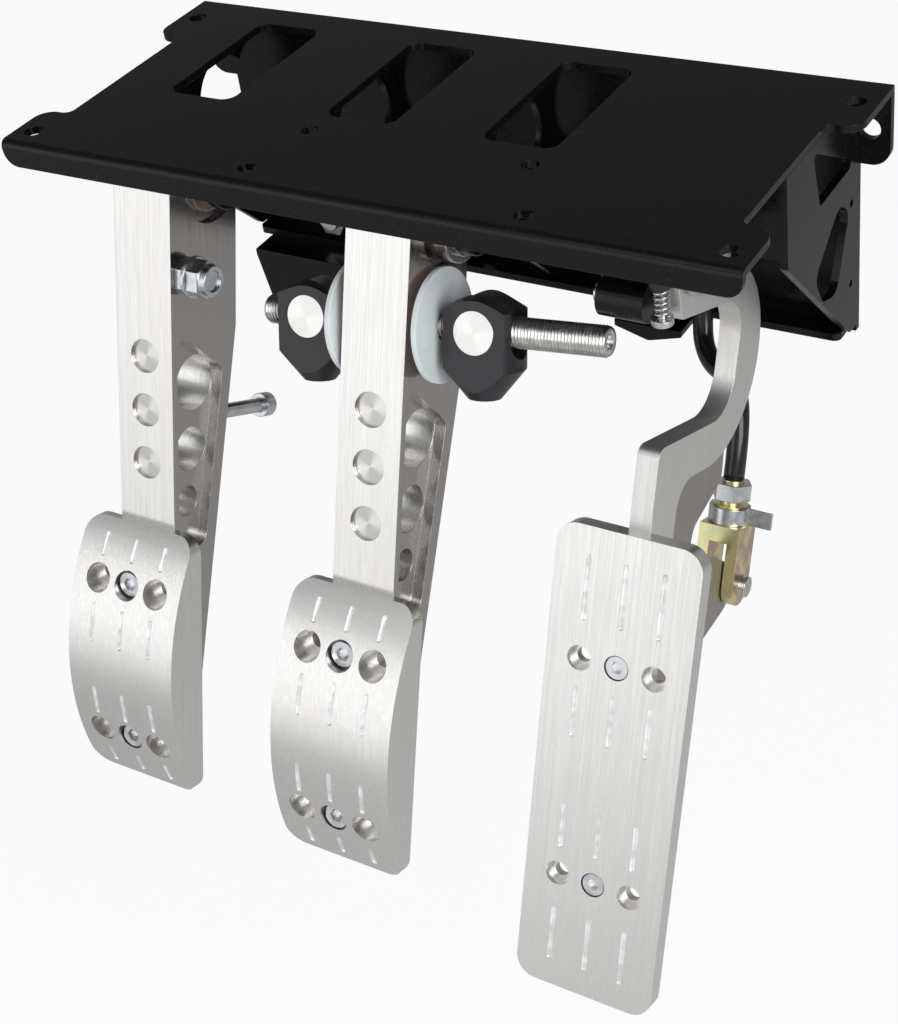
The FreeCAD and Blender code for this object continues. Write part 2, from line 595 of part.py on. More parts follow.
def rear_plate():
    """The upright plate that the master cylinders bolt to, with an ear at each side and a bottom flange."""
    top = -size.sheet
    low = -size.rear_drop
    ear_low = -size.ear_drop
    sheet_body = outline("rear_sheet", "XZ_Plane", [
        (-size.tab_half, top), (size.tab_half, top), (size.tab_half, ear_low, size.tab_round),
        (size.body_half, ear_low), (size.body_half, low), (-size.body_half, low),
        (-size.body_half, ear_low), (-size.tab_half, ear_low, size.tab_round),
    ], -size.plate_rear, size.sheet)
    inside = size.plate_rear - size.sheet
    flange = outline("rear_flange", "XY_Plane", [
        (-size.body_half + size.sheet, inside - size.rear_flange, size.sheet),
        (size.body_half - size.sheet, inside - size.rear_flange, size.sheet),
        (size.body_half - size.sheet, inside), (-size.body_half + size.sheet, inside),
    ], low, size.sheet)
    holes = []
    for number, x in enumerate([-size.ear_hole_x, size.ear_hole_x]):
        holes.append(rod(f"ear_hole_{number}", ALONG_Y, x, inside, size.ear_hole_z, size.ear_hole, size.sheet))
    for number, x in enumerate([size.slot_left, size.slot_middle, size.slot_right]):
        holes.append(rod(f"cylinder_bore_{number}", ALONG_Y, x, inside, size.cylinder_z,
                         size.cylinder_bore, size.sheet))
        for side in (-1, 1):
            z = size.cylinder_z + side * size.cylinder_stud_half
            holes.append(rod(f"cylinder_hole_{number}_{side + 1}", ALONG_Y, x, inside, z,
                             size.cylinder_stud, size.sheet))
    holes.append(rod("ferrule_hole", ALONG_Y, size.ferrule_x, inside, size.ferrule_z,
                     size.ferrule_shank + size.seat_gap, size.sheet))
    node("rear_plate", cut("rear_plate", fuse("rear_folded", [sheet_body, flange]), holes))


def gusset_sheet(name, left):
    """One gusset: an upright plate whose lower front corner is cut away at a slant."""
    inside = size.plate_rear - size.sheet
    low = -size.rear_drop + size.sheet
    return outline(name, "YZ_Plane", [
        (size.gusset_front, -size.sheet), (inside, -size.sheet), (inside, low), (size.gusset_toe, low, size.sheet),
        (size.gusset_front, size.gusset_shoulder, size.sheet),
    ], left, size.sheet)


def side_gussets():
    """The two side plates, each with a flange folded in along its front edge."""
    for side, name in ((-1, "side_gusset_left"), (1, "side_gusset_right")):
        left = side * size.body_half - (size.sheet if side > 0 else 0)
        plate = gusset_sheet(name + "_sheet", left)
        edge = side * (size.body_half - size.sheet)
        inner = edge - side * size.gusset_flange
        low = size.gusset_shoulder + size.sheet
        flange = outline(name + "_flange", "XZ_Plane", [
            (edge, -size.sheet), (inner, -size.sheet), (inner, low, size.tab_round), (edge, low),
        ], -size.gusset_front - size.sheet, size.sheet)
        if side < 0:
            holes = [rod(name + "_round", ALONG_X, left, size.side_round_y, size.side_round_z,
                         size.side_round, size.sheet)]
        else:
            holes = side_openings(name, left)
        node(name, cut(name, fuse(name + "_folded", [plate, flange]), holes))


def side_openings(name, left):
    """The right side's triangle, its slanted oval and two small holes."""
    triangle = outline(name + "_triangle", "YZ_Plane", [
        (22.9, -5.5, 2.0), (63.0, -28.2, 2.0), (28.9, -28.7, 2.0),
    ], left, size.sheet)
    oval = outline(name + "_oval", "YZ_Plane", [
        (47.0, -37.5, 6.0), (56.5, -45.0, 6.0), (44.5, -72.5, 6.0), (31.0, -68.0, 6.0), (24.0, -55.0, 6.0),
    ], left, size.sheet)
    small = [rod(f"{name}_small_{number}", ALONG_X, left, 58.5, z, 1.5, size.sheet)
             for number, z in enumerate([-43.0, -76.0])]
    return [triangle, oval] + small


def inner_gussets():
    """The two plates between the master cylinders, each with a large round hole."""
    for name, middle in (("inner_gusset_left", size.inner_left_x), ("inner_gusset_right", size.inner_right_x)):
        left = middle - size.sheet / 2
        plate = gusset_sheet(name + "_sheet", left)
        hole = rod(name + "_hole", ALONG_X, left, size.inner_hole_y, size.inner_hole_z,
                   size.inner_hole, size.sheet)
        node(name, cut(name, plate, [hole]))


def lower_brackets():
    """The folded brackets below the rear plate; the left one is what the clutch stop screw meets."""
    top = -size.rear_drop
    back = size.plate_rear - size.sheet
    under = top - size.sheet
    left, right = size.bracket_left_start, size.bracket_left_end
    shelf = box("bracket_left_shelf", left, size.bracket_face, under, right - left,
                back - size.bracket_face, size.sheet)
    drop = under - size.bracket_left_drop
    face = outline("bracket_left_face", "XZ_Plane", [
        (left, under), (right, under), (right - 12, drop, 5.0), (left + 5, drop, 5.0),
    ], -size.bracket_face - size.sheet, size.sheet)
    node("lower_bracket_left", fuse("lower_bracket_left", [shelf, face]))
    left, right = size.bracket_right_start, size.bracket_right_end
    shelf = box("bracket_right_shelf", left, size.bracket_face, under, right - left,
                back - size.bracket_face, size.sheet)
    face = outline("bracket_right_face", "XZ_Plane", [
        (left, under), (right, under), ((left + right) / 2, under - size.bracket_right_drop, 4.0),
    ], -size.bracket_face - size.sheet, size.sheet)
    node("lower_bracket_right", fuse("lower_bracket_right", [shelf, face]))


def lug(name, left):
    """One pivot lug that hangs below the top plate."""
    foot = box(name + "_foot", left, size.pivot_y - size.lug_radius, size.pivot_z, size.lug_thick,
               2 * size.lug_radius, -size.pivot_z - size.sheet)
    end = rod(name + "_end", ALONG_X, left, size.pivot_y, size.pivot_z, size.lug_radius, size.lug_thick)
    hole = rod(name + "_hole", ALONG_X, left, size.pivot_y, size.pivot_z,
               size.pivot_bolt + size.seat_gap, size.lug_thick)
    return cut(name, fuse(name + "_solid", [foot, end]), [hole])


def pedal_pivot(pedal, middle, right_spacer, right_radius, right_washer):
    """The lugs, bolt, nut and spacers that one of the two big pedals swings on."""
    y, z = size.pivot_y, size.pivot_z
    face = size.arm_width / 2 + size.side_gap
    left_lug = middle - face - size.spacer_length - size.lug_thick
    right_lug = middle + face + right_spacer + right_washer
    lugs = [lug(pedal + "_lug_left", left_lug), lug(pedal + "_lug_right", right_lug)]
    node(pedal + "_pivot_lugs", fuse(pedal + "_pivot_lugs", lugs))
    bore = size.pivot_bolt + size.running_gap
    spacers = [
        ring(pedal + "_spacer_left", ALONG_X, left_lug + size.lug_thick, y, z, size.spacer_radius, bore,
             size.spacer_length),
        ring(pedal + "_spacer_right", ALONG_X, middle + face, y, z, right_radius, bore, right_spacer),
    ]
    node(pedal + "_spacers", fuse(pedal + "_spacers", spacers))
    end = right_lug + size.lug_thick
    head = hexagon(pedal + "_bolt_head", ALONG_X, left_lug - size.pivot_head, y, z, size.pivot_head_flats,
                   size.pivot_head)
    shank = rod(pedal + "_bolt_shank", ALONG_X, left_lug, y, z, size.pivot_bolt,
                end - left_lug + size.pivot_nut + 2)
    node(pedal + "_pivot_bolt", fuse(pedal + "_pivot_bolt", [head, shank]))
    nut = hexagon(pedal + "_nut_solid", ALONG_X, end, y, z, size.pivot_head_flats, size.pivot_nut)
    thread = rod(pedal + "_nut_thread", ALONG_X, end, y, z, size.pivot_bolt + size.seat_gap, size.pivot_nut)
    node(pedal + "_pivot_nut", cut(pedal + "_pivot_nut", nut, [thread]))
    return right_lug


def pivots():
    """The clutch's and the brake's pivots."""
    pedal_pivot("clutch", size.clutch_x, size.spacer_length, size.spacer_radius, amount(0))
    right_lug = pedal_pivot("brake", size.brake_x, size.wide_spacer_length, size.wide_spacer_radius,
                            size.wide_washer_thick)
    node("brake_washer", ring("brake_washer", ALONG_X, right_lug - size.wide_washer_thick, size.pivot_y,
                              size.pivot_z, size.wide_washer_radius, size.pivot_bolt + size.running_gap,
                              size.wide_washer_thick))


def arm_blank(name):
    """An arm's side view, from its round top to the thin end behind the pad."""
    front = -size.arm_front
    return outline(name, "YZ_Plane", [
        (front, size.arm_top, size.arm_top_round),
        (front + size.arm_depth, size.arm_top, size.arm_top_round),
        (front + size.arm_depth, -size.arm_taper_start),
        (front + size.arm_depth_low, -size.arm_taper_end),
        (front + size.arm_depth_end, -size.arm_end, 4.0),
        (front, -size.arm_end, 2.0),
    ], -size.arm_width / 2, size.arm_width)


def rear_wall(drop):
    """How far back from its front face an arm's tapered side reaches at a distance below the pivot."""
    share = (drop - size.arm_taper_start) / (size.arm_taper_end - size.arm_taper_start)
    return size.arm_depth - (size.arm_depth - size.arm_depth_low) * share


def side_pocket(name, left):
    """The tool that mills one long pocket in an arm's side."""
    front = -size.arm_front
    high = size.pocket_top_rear
    low = size.pocket_bottom
    return outline(name, "YZ_Plane", [
        (front + size.pocket_front_wall, -size.pocket_top_front, 4.0),
        (front + rear_wall(high) - size.pocket_rear_wall, -high, 3.0),
        (front + rear_wall(low) - size.pocket_rear_wall, -low, size.pocket_round),
        (front + size.pocket_front_wall, -low, size.pocket_round),
    ], left, size.pocket_depth)


def pedal_arm(name, extra):
    """A milled arm with side pockets, holes through the web, dimples and a bushed pivot."""
    half = size.arm_width / 2
    front = -size.arm_front
    tools = [
        side_pocket(name + "_pocket_left", -half),
        side_pocket(name + "_pocket_right", half - size.pocket_depth),
        rod(name + "_recess_left", ALONG_X, -half, 0, 0, size.recess_radius, size.recess_depth),
        rod(name + "_recess_right", ALONG_X, half - size.recess_depth, 0, 0, size.recess_radius,
            size.recess_depth),
        rod(name + "_pivot_bore", ALONG_X, -half, 0, 0,
            size.pivot_bolt + size.running_gap + size.bush_wall + size.seat_gap, size.arm_width),
    ]
    for number, (drop, back, radius) in enumerate([
            (size.web_hole_top, size.web_hole_top_v, size.web_hole_top_radius),
            (size.web_hole_middle, size.web_hole_middle_v, size.web_hole_middle_radius),
            (size.web_hole_low, size.web_hole_low_v, size.web_hole_low_radius)]):
        tools.append(rod(f"{name}_web_hole_{number}", ALONG_X, -half, front + back, -drop, radius,
                         size.arm_width))
    for number in range(3):
        drop = size.dimple_first + number * size.dimple_spacing
        tools.append(rod(f"{name}_dimple_{number}", ALONG_Y, 0, front, -drop, size.dimple_radius,
                         size.dimple_depth))
    for number, side in enumerate((-1, 1)):
        drop = size.pad_drop + side * size.pad_row
        tools.append(rod(f"{name}_screw_hole_{number}", ALONG_Y, 0, front, -drop,
                         size.pad_screw + size.seat_gap, size.pad_screw_reach))
    return cut(name, arm_blank(name + "_blank"), tools + extra)


def pedal_bushes(name):
    """The two flanged bushes pressed into an arm."""
    inner = size.pivot_bolt + size.running_gap
    floor = size.arm_width / 2 - size.recess_depth
    bushes = []
    for number, side in enumerate((-1, 1)):
        start = -floor if side < 0 else floor - size.bush_length
        flange = -floor - size.bush_flange_thick if side < 0 else floor
        body = fuse(f"{name}_{number}_solid", [
            rod(f"{name}_{number}_sleeve", ALONG_X, start, 0, 0, inner + size.bush_wall, size.bush_length),
            rod(f"{name}_{number}_flange", ALONG_X, flange, 0, 0, size.bush_flange, size.bush_flange_thick),
        ])
        hole = rod(f"{name}_{number}_bore", ALONG_X, -size.arm_width, 0, 0, inner, 2 * size.arm_width)
        bushes.append(cut(f"{name}_{number}", body, [hole]))
    return fuse(name, bushes)


def groove_on_dome(name, x, first, last):
    """A ball-ended groove along a domed pad, between two distances below the pivot."""
    centre_y = -size.arm_front - size.pad_thick + size.pad_arc
    centre_z = -size.pad_drop
    tools = []
    angles = [math.degrees(math.asin((drop - size.pad_drop.value) / size.pad_arc.value)) for drop in (first, last)]
    sweep = doc.addObject("Part::Torus", name + "_sweep")
    bind(sweep, "Radius1", size.pad_arc)
    bind(sweep, "Radius2", size.groove)
    sweep.Angle1 = -180
    sweep.Angle2 = 180
    sweep.Angle3 = angles[1] - angles[0]
    turn = Rotation(Vector(0, 0, 1), Vector(1, 0, 0)) * Rotation(Vector(0, 0, 1), 0)
    turn = Rotation(Vector(0, -1, 0), Vector(0, 0, -1), Vector(1, 0, 0), "ZXY") * Rotation(Vector(0, 0, 1), angles[0])
    tools.append(move(sweep, x, centre_y, centre_z, turn))
    for number, angle in enumerate(angles):
        reach = amount(angle)
        tools.append(ball(f"{name}_end_{number}", x, centre_y - size.pad_arc * cosine(reach),
                          centre_z - size.pad_arc * sine(reach), size.groove))
    return tools


def pedal_pad(name):
    """A pad with a flat back and a domed, grooved face, with six counterbored holes."""
    back = -size.arm_front
    blank = outline(name + "_blank", "XZ_Plane", [
        (-size.pad_width / 2, -size.pad_drop - size.pad_length / 2, size.pad_round),
        (size.pad_width / 2, -size.pad_drop - size.pad_length / 2, size.pad_round),
        (size.pad_width / 2, -size.pad_drop + size.pad_length / 2, size.pad_round),
        (-size.pad_width / 2, -size.pad_drop + size.pad_length / 2, size.pad_round),
    ], -back, size.pad_thick)
    dome = rod(name + "_dome", ALONG_X, -size.pad_width, back - size.pad_thick + size.pad_arc, -size.pad_drop,
               size.pad_arc, 2 * size.pad_width)
    tools = []
    for row, side in enumerate((-1, 1)):
        z = -size.pad_drop - side * size.pad_row
        for column in (-1, 0, 1):
            x = column * size.pad_column
            place = f"{name}_{row}_{column + 1}"
            tools.append(rod(place + "_hole", ALONG_Y, x, back - size.pad_thick, z, size.pad_hole,
                             size.pad_thick))
            tools.append(rod(place + "_counterbore", ALONG_Y, x, back - size.pad_thick, z,
                             size.pad_counterbore, size.pad_thick - size.pad_seat))
    centre = size.pad_drop.value
    for row, (first, last) in enumerate([(-50.2, -42.6), (-22.7, -8.3), (13.5, 25.0), (44.5, 51.5)]):
        for column in (-1, 0, 1):
            tools += groove_on_dome(f"{name}_groove_{row}_{column + 1}", column * size.pad_column,
                                    centre + first, centre + last)
    return cut(name, common(name + "_shape", blank, dome), tools)


def pedal_pad_screws(name):
    """The two screws in a pad's middle column."""
    front = -size.arm_front - size.pad_seat - size.pad_screw_head_height
    screws = []
    for number, side in enumerate((-1, 1)):
        z = -size.pad_drop - side * size.pad_row
        screws.append(screw(f"{name}_{number}", ALONG_Y, amount(0), front, z, size.pad_screw,
                            size.pad_seat + size.pad_screw_reach, size.pad_screw_head,
                            size.pad_screw_head_height, size.pad_screw_head))
    return fuse(name, screws)


def clutch_pedal():
    """The clutch arm with its pad, bushes, cross bolt and stop screw."""
    half = size.arm_width / 2
    front = -size.arm_front
    cross_y = front + size.cross_back
    cross_z = -size.cross_drop
    stop_y = front + rear_wall(size.stop_drop)
    stop_turn = Rotation(Vector(1, 0, 0), -90 - size.stop_lean.value)
    back_step = cosine(size.stop_lean)
    down_step = sine(size.stop_lean)

    def along(distance):
        """A place on the stop screw's axis, from the arm's rear face."""
        return stop_y + distance * back_step, -size.stop_drop - distance * down_step

    inside_y, inside_z = along(-size.stop_inside)
    extra = [
        rod("clutch_cross_hole", ALONG_X, half - size.cross_inside, cross_y, cross_z,
            size.cross_bolt + size.seat_gap, size.cross_inside),
        rod("clutch_stop_hole", stop_turn, 0, inside_y, inside_z, size.stop_screw + size.seat_gap,
            size.stop_inside + 10),
    ]
    parts = {"clutch_arm": pedal_arm("clutch_arm", extra), "clutch_bushes": pedal_bushes("clutch_bushes"),
             "clutch_pad": pedal_pad("clutch_pad"), "clutch_pad_screws": pedal_pad_screws("clutch_pad_screws")}
    reach = half + size.cross_shoulder
    seat = reach + size.cross_washer_thick
    parts["clutch_cross_bolt"] = fuse("clutch_cross_bolt", [
        rod("clutch_cross_shank", ALONG_X, half - size.cross_inside, cross_y, cross_z, size.cross_bolt,
            size.cross_inside + size.cross_shoulder + size.cross_stud),
        hexagon("clutch_cross_shoulder", ALONG_X, half, cross_y, cross_z, size.cross_flats,
                size.cross_shoulder)])
    bore = size.cross_bolt + size.seat_gap
    parts["clutch_cross_washer"] = ring("clutch_cross_washer", ALONG_X, reach, cross_y, cross_z,
                                        size.cross_washer, bore, size.cross_washer_thick)
    nut = fuse("cross_nut_solid", [
        hexagon("cross_nut_hexagon", ALONG_X, seat, cross_y, cross_z, size.cross_flats, size.cross_nut),
        rod("cross_nut_collar", ALONG_X, seat, cross_y, cross_z, size.cross_collar,
            size.cross_nut + size.cross_collar_height)])
    parts["clutch_cross_nut"] = cut("clutch_cross_nut", nut, [
        rod("cross_nut_thread", ALONG_X, seat, cross_y, cross_z, bore,
            size.cross_nut + size.cross_collar_height)])
    head_y, head_z = along(size.stop_reach - size.stop_head_height)
    key_y, key_z = along(size.stop_reach - size.stop_head_height / 2)
    stop = fuse("clutch_stop_solid", [
        rod("clutch_stop_shank", stop_turn, 0, inside_y, inside_z, size.stop_screw,
            size.stop_inside + size.stop_reach - size.stop_head_height),
        rod("clutch_stop_head", stop_turn, 0, head_y, head_z, size.stop_head, size.stop_head_height)])
    parts["clutch_stop_screw"] = cut("clutch_stop_screw", stop, [
        hexagon("clutch_stop_key", stop_turn, 0, key_y, key_z, size.stop_head, size.stop_head_height)])
    nut_y, nut_z = along(0.1)
    thread_y, thread_z = along(-1)
    parts["clutch_stop_nut"] = cut("clutch_stop_nut", hexagon(
        "clutch_stop_nut_solid", stop_turn, 0, nut_y, nut_z, size.stop_nut_flats, size.stop_nut), [
        rod("clutch_stop_nut_thread", stop_turn, 0, thread_y, thread_z, size.stop_screw + size.seat_gap,
            size.stop_nut * 2)])
    for name, item in parts.items():
        node(name, lean(item, size.clutch_x, size.clutch_tilt))


def brake_pedal():
    """The brake arm with its pad, bushes and the tube, race and circlips of the balance bar's bearing."""
    half = size.arm_width / 2
    y = -size.arm_front + size.bar_back
    z = -size.bar_drop
    extra = [rod("brake_tube_hole", ALONG_X, -half, y, z, size.tube_radius + size.seat_gap, size.arm_width)]
    parts = {"brake_arm": pedal_arm("brake_arm", extra), "brake_bushes": pedal_bushes("brake_bushes"),
             "brake_pad": pedal_pad("brake_pad"), "brake_pad_screws": pedal_pad_screws("brake_pad_screws")}
    parts["bias_tube"] = ring("bias_tube", ALONG_X, -size.tube_half, y, z, size.tube_radius, size.tube_bore,
                              2 * size.tube_half)
    race = rod("bias_race_solid", ALONG_X, -size.race_half, y, z, size.tube_bore - size.seat_gap,
               2 * size.race_half)
    parts["bias_race"] = cut("bias_race", race, [
        ball("bias_race_seat", 0, y, z, size.ball_radius + size.running_gap, ALONG_X)])
    clips = []
    for number, start in enumerate([-size.race_half - size.circlip_thick, size.race_half]):
        clips.append(ring(f"bias_circlip_{number}", ALONG_X, start, y, z, size.tube_bore - size.seat_gap,
                          size.tube_bore - size.circlip_wall, size.circlip_thick))
    parts["bias_circlips"] = fuse("bias_circlips", clips)
    for name, item in parts.items():
        node(name, lean(item, size.brake_x, size.brake_tilt))


def bar_frame():
    """The balance bar's centre and direction: across the bearing, its right end forwards and up."""
    back = size.bar_back - size.arm_front
    down = size.bar_drop
    y = size.pivot_y + back * cosine(size.brake_tilt) - down * sine(size.brake_tilt)
    z = size.pivot_z - back * sine(size.brake_tilt) - down * cosine(size.brake_tilt)
    return size.brake_x, y, z, Rotation(size.bar_yaw.value, -size.bar_lean.value, 0)


def balance_bar():
    """The threaded bar, its ball, the nylon discs, and a trunnion and clevis at each side."""
    x, y, z, turn = bar_frame()
    bore = size.bar_radius + size.running_gap
    length = size.bar_left + size.bar_right
    parts = {}
    bar = rod("bias_bar_rod", ALONG_X, -size.bar_left, 0, 0, size.bar_radius, length)
    parts["bias_bar"] = cut("bias_bar", bar, [
        rod("bias_bar_recess", ALONG_X, size.bar_right - size.bar_recess_depth, 0, 0, size.bar_recess,
            size.bar_recess_depth)])
    sides = rod("bias_ball_width", ALONG_X, -size.ball_half, 0, 0, size.ball_radius, 2 * size.ball_half)
    hole = rod("bias_ball_hole", ALONG_X, -size.ball_radius, 0, 0, bore, 2 * size.ball_radius)
    parts["bias_ball"] = cut("bias_ball", common("bias_ball_solid", ball(
        "bias_ball_sphere", 0, 0, 0, size.ball_radius, ALONG_X), sides), [hole])
    discs = [ring("bias_disc_left", ALONG_X, -size.disc_start - size.disc_thick, 0, 0, size.disc_radius, bore,
                  size.disc_thick),
             ring("bias_disc_right", ALONG_X, size.disc_start, 0, 0, size.disc_radius, bore, size.disc_thick)]
    parts["bias_discs"] = fuse("bias_discs", discs)
    for side, word in ((-1, "left"), (1, "right")):
        place = side * size.trunnion_x
        barrel = rod(f"trunnion_{word}_barrel", ALONG_Y, place, -size.clevis_flat, 0, size.trunnion_radius,
                     2 * size.clevis_flat)
        parts[f"trunnion_{word}"] = cut(f"trunnion_{word}", barrel, [
            rod(f"trunnion_{word}_bore", ALONG_X, place - size.trunnion_radius, 0, 0, bore,
                2 * size.trunnion_radius)])
        parts[f"clevis_{word}"] = bar_clevis(f"clevis_{word}", place)
    hanging = turn * Rotation(Vector(-1, 0, 0), size.clevis_swing.value)
    for name, item in parts.items():
        node(name, move(item, x, y, z, turn if name.startswith("bias") else hanging))


def bar_clevis(name, place):
    """A turned clevis with flats, a slot for the bar and a tapped hole for the push rod."""
    low, high = -size.clevis_shoulder_low, size.clevis_shoulder_high
    turned = fuse(name + "_turned", [
        taper(name + "_lower", ALONG_Z, place, 0, -size.clevis_bottom, size.clevis_nose, size.clevis_radius,
              size.clevis_bottom - size.clevis_shoulder_low),
        rod(name + "_waist", ALONG_Z, place, 0, low, size.clevis_radius, high - low),
        taper(name + "_upper", ALONG_Z, place, 0, high, size.clevis_radius, size.clevis_crown,
              size.clevis_top - size.clevis_shoulder_high)])
    height = size.clevis_bottom + size.clevis_top
    flats = box(name + "_flats", place - size.clevis_radius, -size.clevis_flat, -size.clevis_bottom,
                2 * size.clevis_radius, 2 * size.clevis_flat, height)
    round_z = size.clevis_slot - size.clevis_slot_drop
    slot = fuse(name + "_slot", [
        box(name + "_slot_sides", place - size.clevis_radius, -size.clevis_slot, round_z,
            2 * size.clevis_radius, 2 * size.clevis_slot, height),
        rod(name + "_slot_end", ALONG_X, place - size.clevis_radius, 0, round_z, size.clevis_slot,
            2 * size.clevis_radius)])
    hole = rod(name + "_hole", ALONG_Y, place, -size.clevis_flat, 0, size.trunnion_radius + size.running_gap,
               2 * size.clevis_flat)
    tapped = rod(name + "_tapped", ALONG_Z, place, 0, -size.clevis_bottom, size.pushrod_thread,
                 size.clevis_bottom - size.clevis_slot_drop)
    return cut(name, common(name + "_body", turned, flats), [slot, hole, tapped])


def throttle_arm():
    """The flat throttle arm: an eye at the pivot, a bend, a leg behind the pad and an ear for the clevis."""
    left = -size.throttle_thick / 2
    front = -size.throttle_pad_front + size.throttle_pad_thick
    bend = (size.throttle_shelf_under - size.throttle_shelf_top) / 2 - size.side_gap
    plate = outline("throttle_plate", "YZ_Plane", [
        (-size.throttle_toe_front, -size.throttle_toe, 1.5), (front, -size.throttle_shelf_top),
        (size.throttle_bend_out, -size.throttle_shelf_top, bend),
        (size.throttle_bend_out, -size.throttle_shelf_under, bend),
        (size.throttle_leg_back, -size.throttle_shelf_under, size.throttle_heel),
        (size.throttle_leg_back, -size.throttle_leg_end, 4.0), (front, -size.throttle_leg_end, 2.0),
        (front, -size.throttle_shelf_low, 4.0),
        (size.throttle_bend_in, -size.throttle_shelf_low, size.throttle_bend_round),
        (size.throttle_bend_in, -size.throttle_toe, size.throttle_bend_round),
    ], left, size.throttle_thick)
    eye = rod("throttle_eye_solid", ALONG_X, left, 0, 0, size.throttle_eye, size.throttle_thick)
    y, z = size.fork_back, -size.fork_drop
    ear = outline("throttle_ear", "YZ_Plane", [
        (front + 4, -size.throttle_shelf_low - 8), (y - 22, -size.throttle_shelf_low - 8),
        (y - 20, z + 46, 6.0), (y - 41, z + 33, 6.0), (y - 43, z + 24, 4.0),
        (y - 17, z + 15, 6.0), (y - 6, z + 9.5, 5.0), (y, z + size.ear_round, 4.0),
        (y + size.ear_round, z, 4.0), (y, z - size.ear_round - 2, 6.0),
        (front + 4, z - 40),
    ], -size.ear_thick / 2, size.ear_thick)
    tools = [rod("throttle_pivot_bore", ALONG_X, left, 0, 0,
                 size.pivot_bolt + size.running_gap + size.bush_wall + size.seat_gap, size.throttle_thick),
             rod("throttle_pin_hole", ALONG_X, left, y, z, size.fork_pin + size.running_gap,
                 size.throttle_thick)]
    for number, drop in enumerate([size.throttle_row_high, size.throttle_row_low]):
        tools.append(rod(f"throttle_screw_hole_{number}", ALONG_Y, 0, front, -drop,
                         size.throttle_screw + size.seat_gap, size.throttle_screw_reach))
    return cut("throttle_arm", fuse("throttle_arm_solid", [plate, eye, ear]), tools)


def throttle_pad():
    """The long flat pad with six counterbored holes and four rows of grooves."""
    front = -size.throttle_pad_front
    top = -size.throttle_pad_top
    low = top - size.throttle_pad_length
    half = size.throttle_pad_width / 2
    blank = outline("throttle_pad_blank", "XZ_Plane", [
        (-half, low, size.throttle_pad_round), (half, low, size.throttle_pad_round),
        (half, top, size.throttle_pad_round), (-half, top, size.throttle_pad_round),
    ], -front - size.throttle_pad_thick, size.throttle_pad_thick)
    tools = []
    for row, drop in enumerate([size.throttle_row_high, size.throttle_row_low]):
        for column in (-1, 0, 1):
            x = column * size.throttle_column
            place = f"throttle_pad_{row}_{column + 1}"
            tools.append(rod(place + "_hole", ALONG_Y, x, front, -drop, size.throttle_pad_hole,
                             size.throttle_pad_thick))
            tools.append(rod(place + "_counterbore", ALONG_Y, x, front, -drop, size.throttle_counterbore,
                             size.throttle_pad_thick - size.throttle_pad_seat))
    for row, (first, last) in enumerate([(100.3, 122.4), (148.9, 166.3), (194.1, 210.1), (236.0, 255.8)]):
        for column in (-1, 0, 1):
            x = column * size.throttle_column
            place = f"throttle_groove_{row}_{column + 1}"
            tools.append(rod(place, ALONG_Z, x, front, -last, size.groove, last - first))
            tools.append(ball(place + "_top", x, front, -first, size.groove))
            tools.append(ball(place + "_low", x, front, -last, size.groove))
    return cut("throttle_pad", blank, tools)


def throttle_pedal():
    """The throttle arm with its pad, screws, bushes and clevis pin."""
    parts = {"throttle_arm": throttle_arm(), "throttle_pad": throttle_pad()}
    head = -size.throttle_pad_front + size.throttle_pad_thick - size.throttle_pad_seat - size.throttle_screw_height
    screws = [screw(f"throttle_pad_screw_{number}", ALONG_Y, amount(0), head, -drop, size.throttle_screw,
                    size.throttle_pad_seat + size.throttle_screw_reach, size.throttle_screw_head,
                    size.throttle_screw_height, size.throttle_screw_head)
              for number, drop in enumerate([size.throttle_row_high, size.throttle_row_low])]
    parts["throttle_pad_screws"] = fuse("throttle_pad_screws", screws)
    half = size.throttle_thick / 2
    inner = size.pivot_bolt + size.running_gap
    bushes = []
    for number, side in enumerate((-1, 1)):
        start = -half if side < 0 else size.side_gap
        flange = -half - size.throttle_bush_flange_thick if side < 0 else half
        body = fuse(f"throttle_bush_{number}_solid", [
            rod(f"throttle_bush_{number}_sleeve", ALONG_X, start, 0, 0, inner + size.bush_wall,
                half - size.side_gap),
            rod(f"throttle_bush_{number}_flange", ALONG_X, flange, 0, 0, size.throttle_bush_flange,
                size.throttle_bush_flange_thick)])
        bushes.append(cut(f"throttle_bush_{number}", body, [
            rod(f"throttle_bush_{number}_bore", ALONG_X, -2 * half, 0, 0, inner, 4 * half)]))
    parts["throttle_bushes"] = fuse("throttle_bushes", bushes)
    y, z = size.fork_back, -size.fork_drop
    pin = rod("fork_pin_shank", ALONG_X, -size.fork_pin_left, y, z, size.fork_pin,
              size.fork_pin_left + size.fork_pin_right)
    groove = ring("fork_pin_groove", ALONG_X, size.fork_pin_right - 2.2, y, z, size.fork_pin,
                  size.fork_pin - 0.6, amount(1.0))
    pin_head = rod("fork_pin_head", ALONG_X, -size.fork_pin_left - 1.5, y, z, size.fork_pin + 2, amount(1.5))
    parts["throttle_clevis_pin"] = cut("throttle_clevis_pin", fuse("fork_pin_solid", [pin, pin_head]), [groove])
    for name, item in parts.items():
        node(name, lean(item, size.throttle_x, size.throttle_tilt))


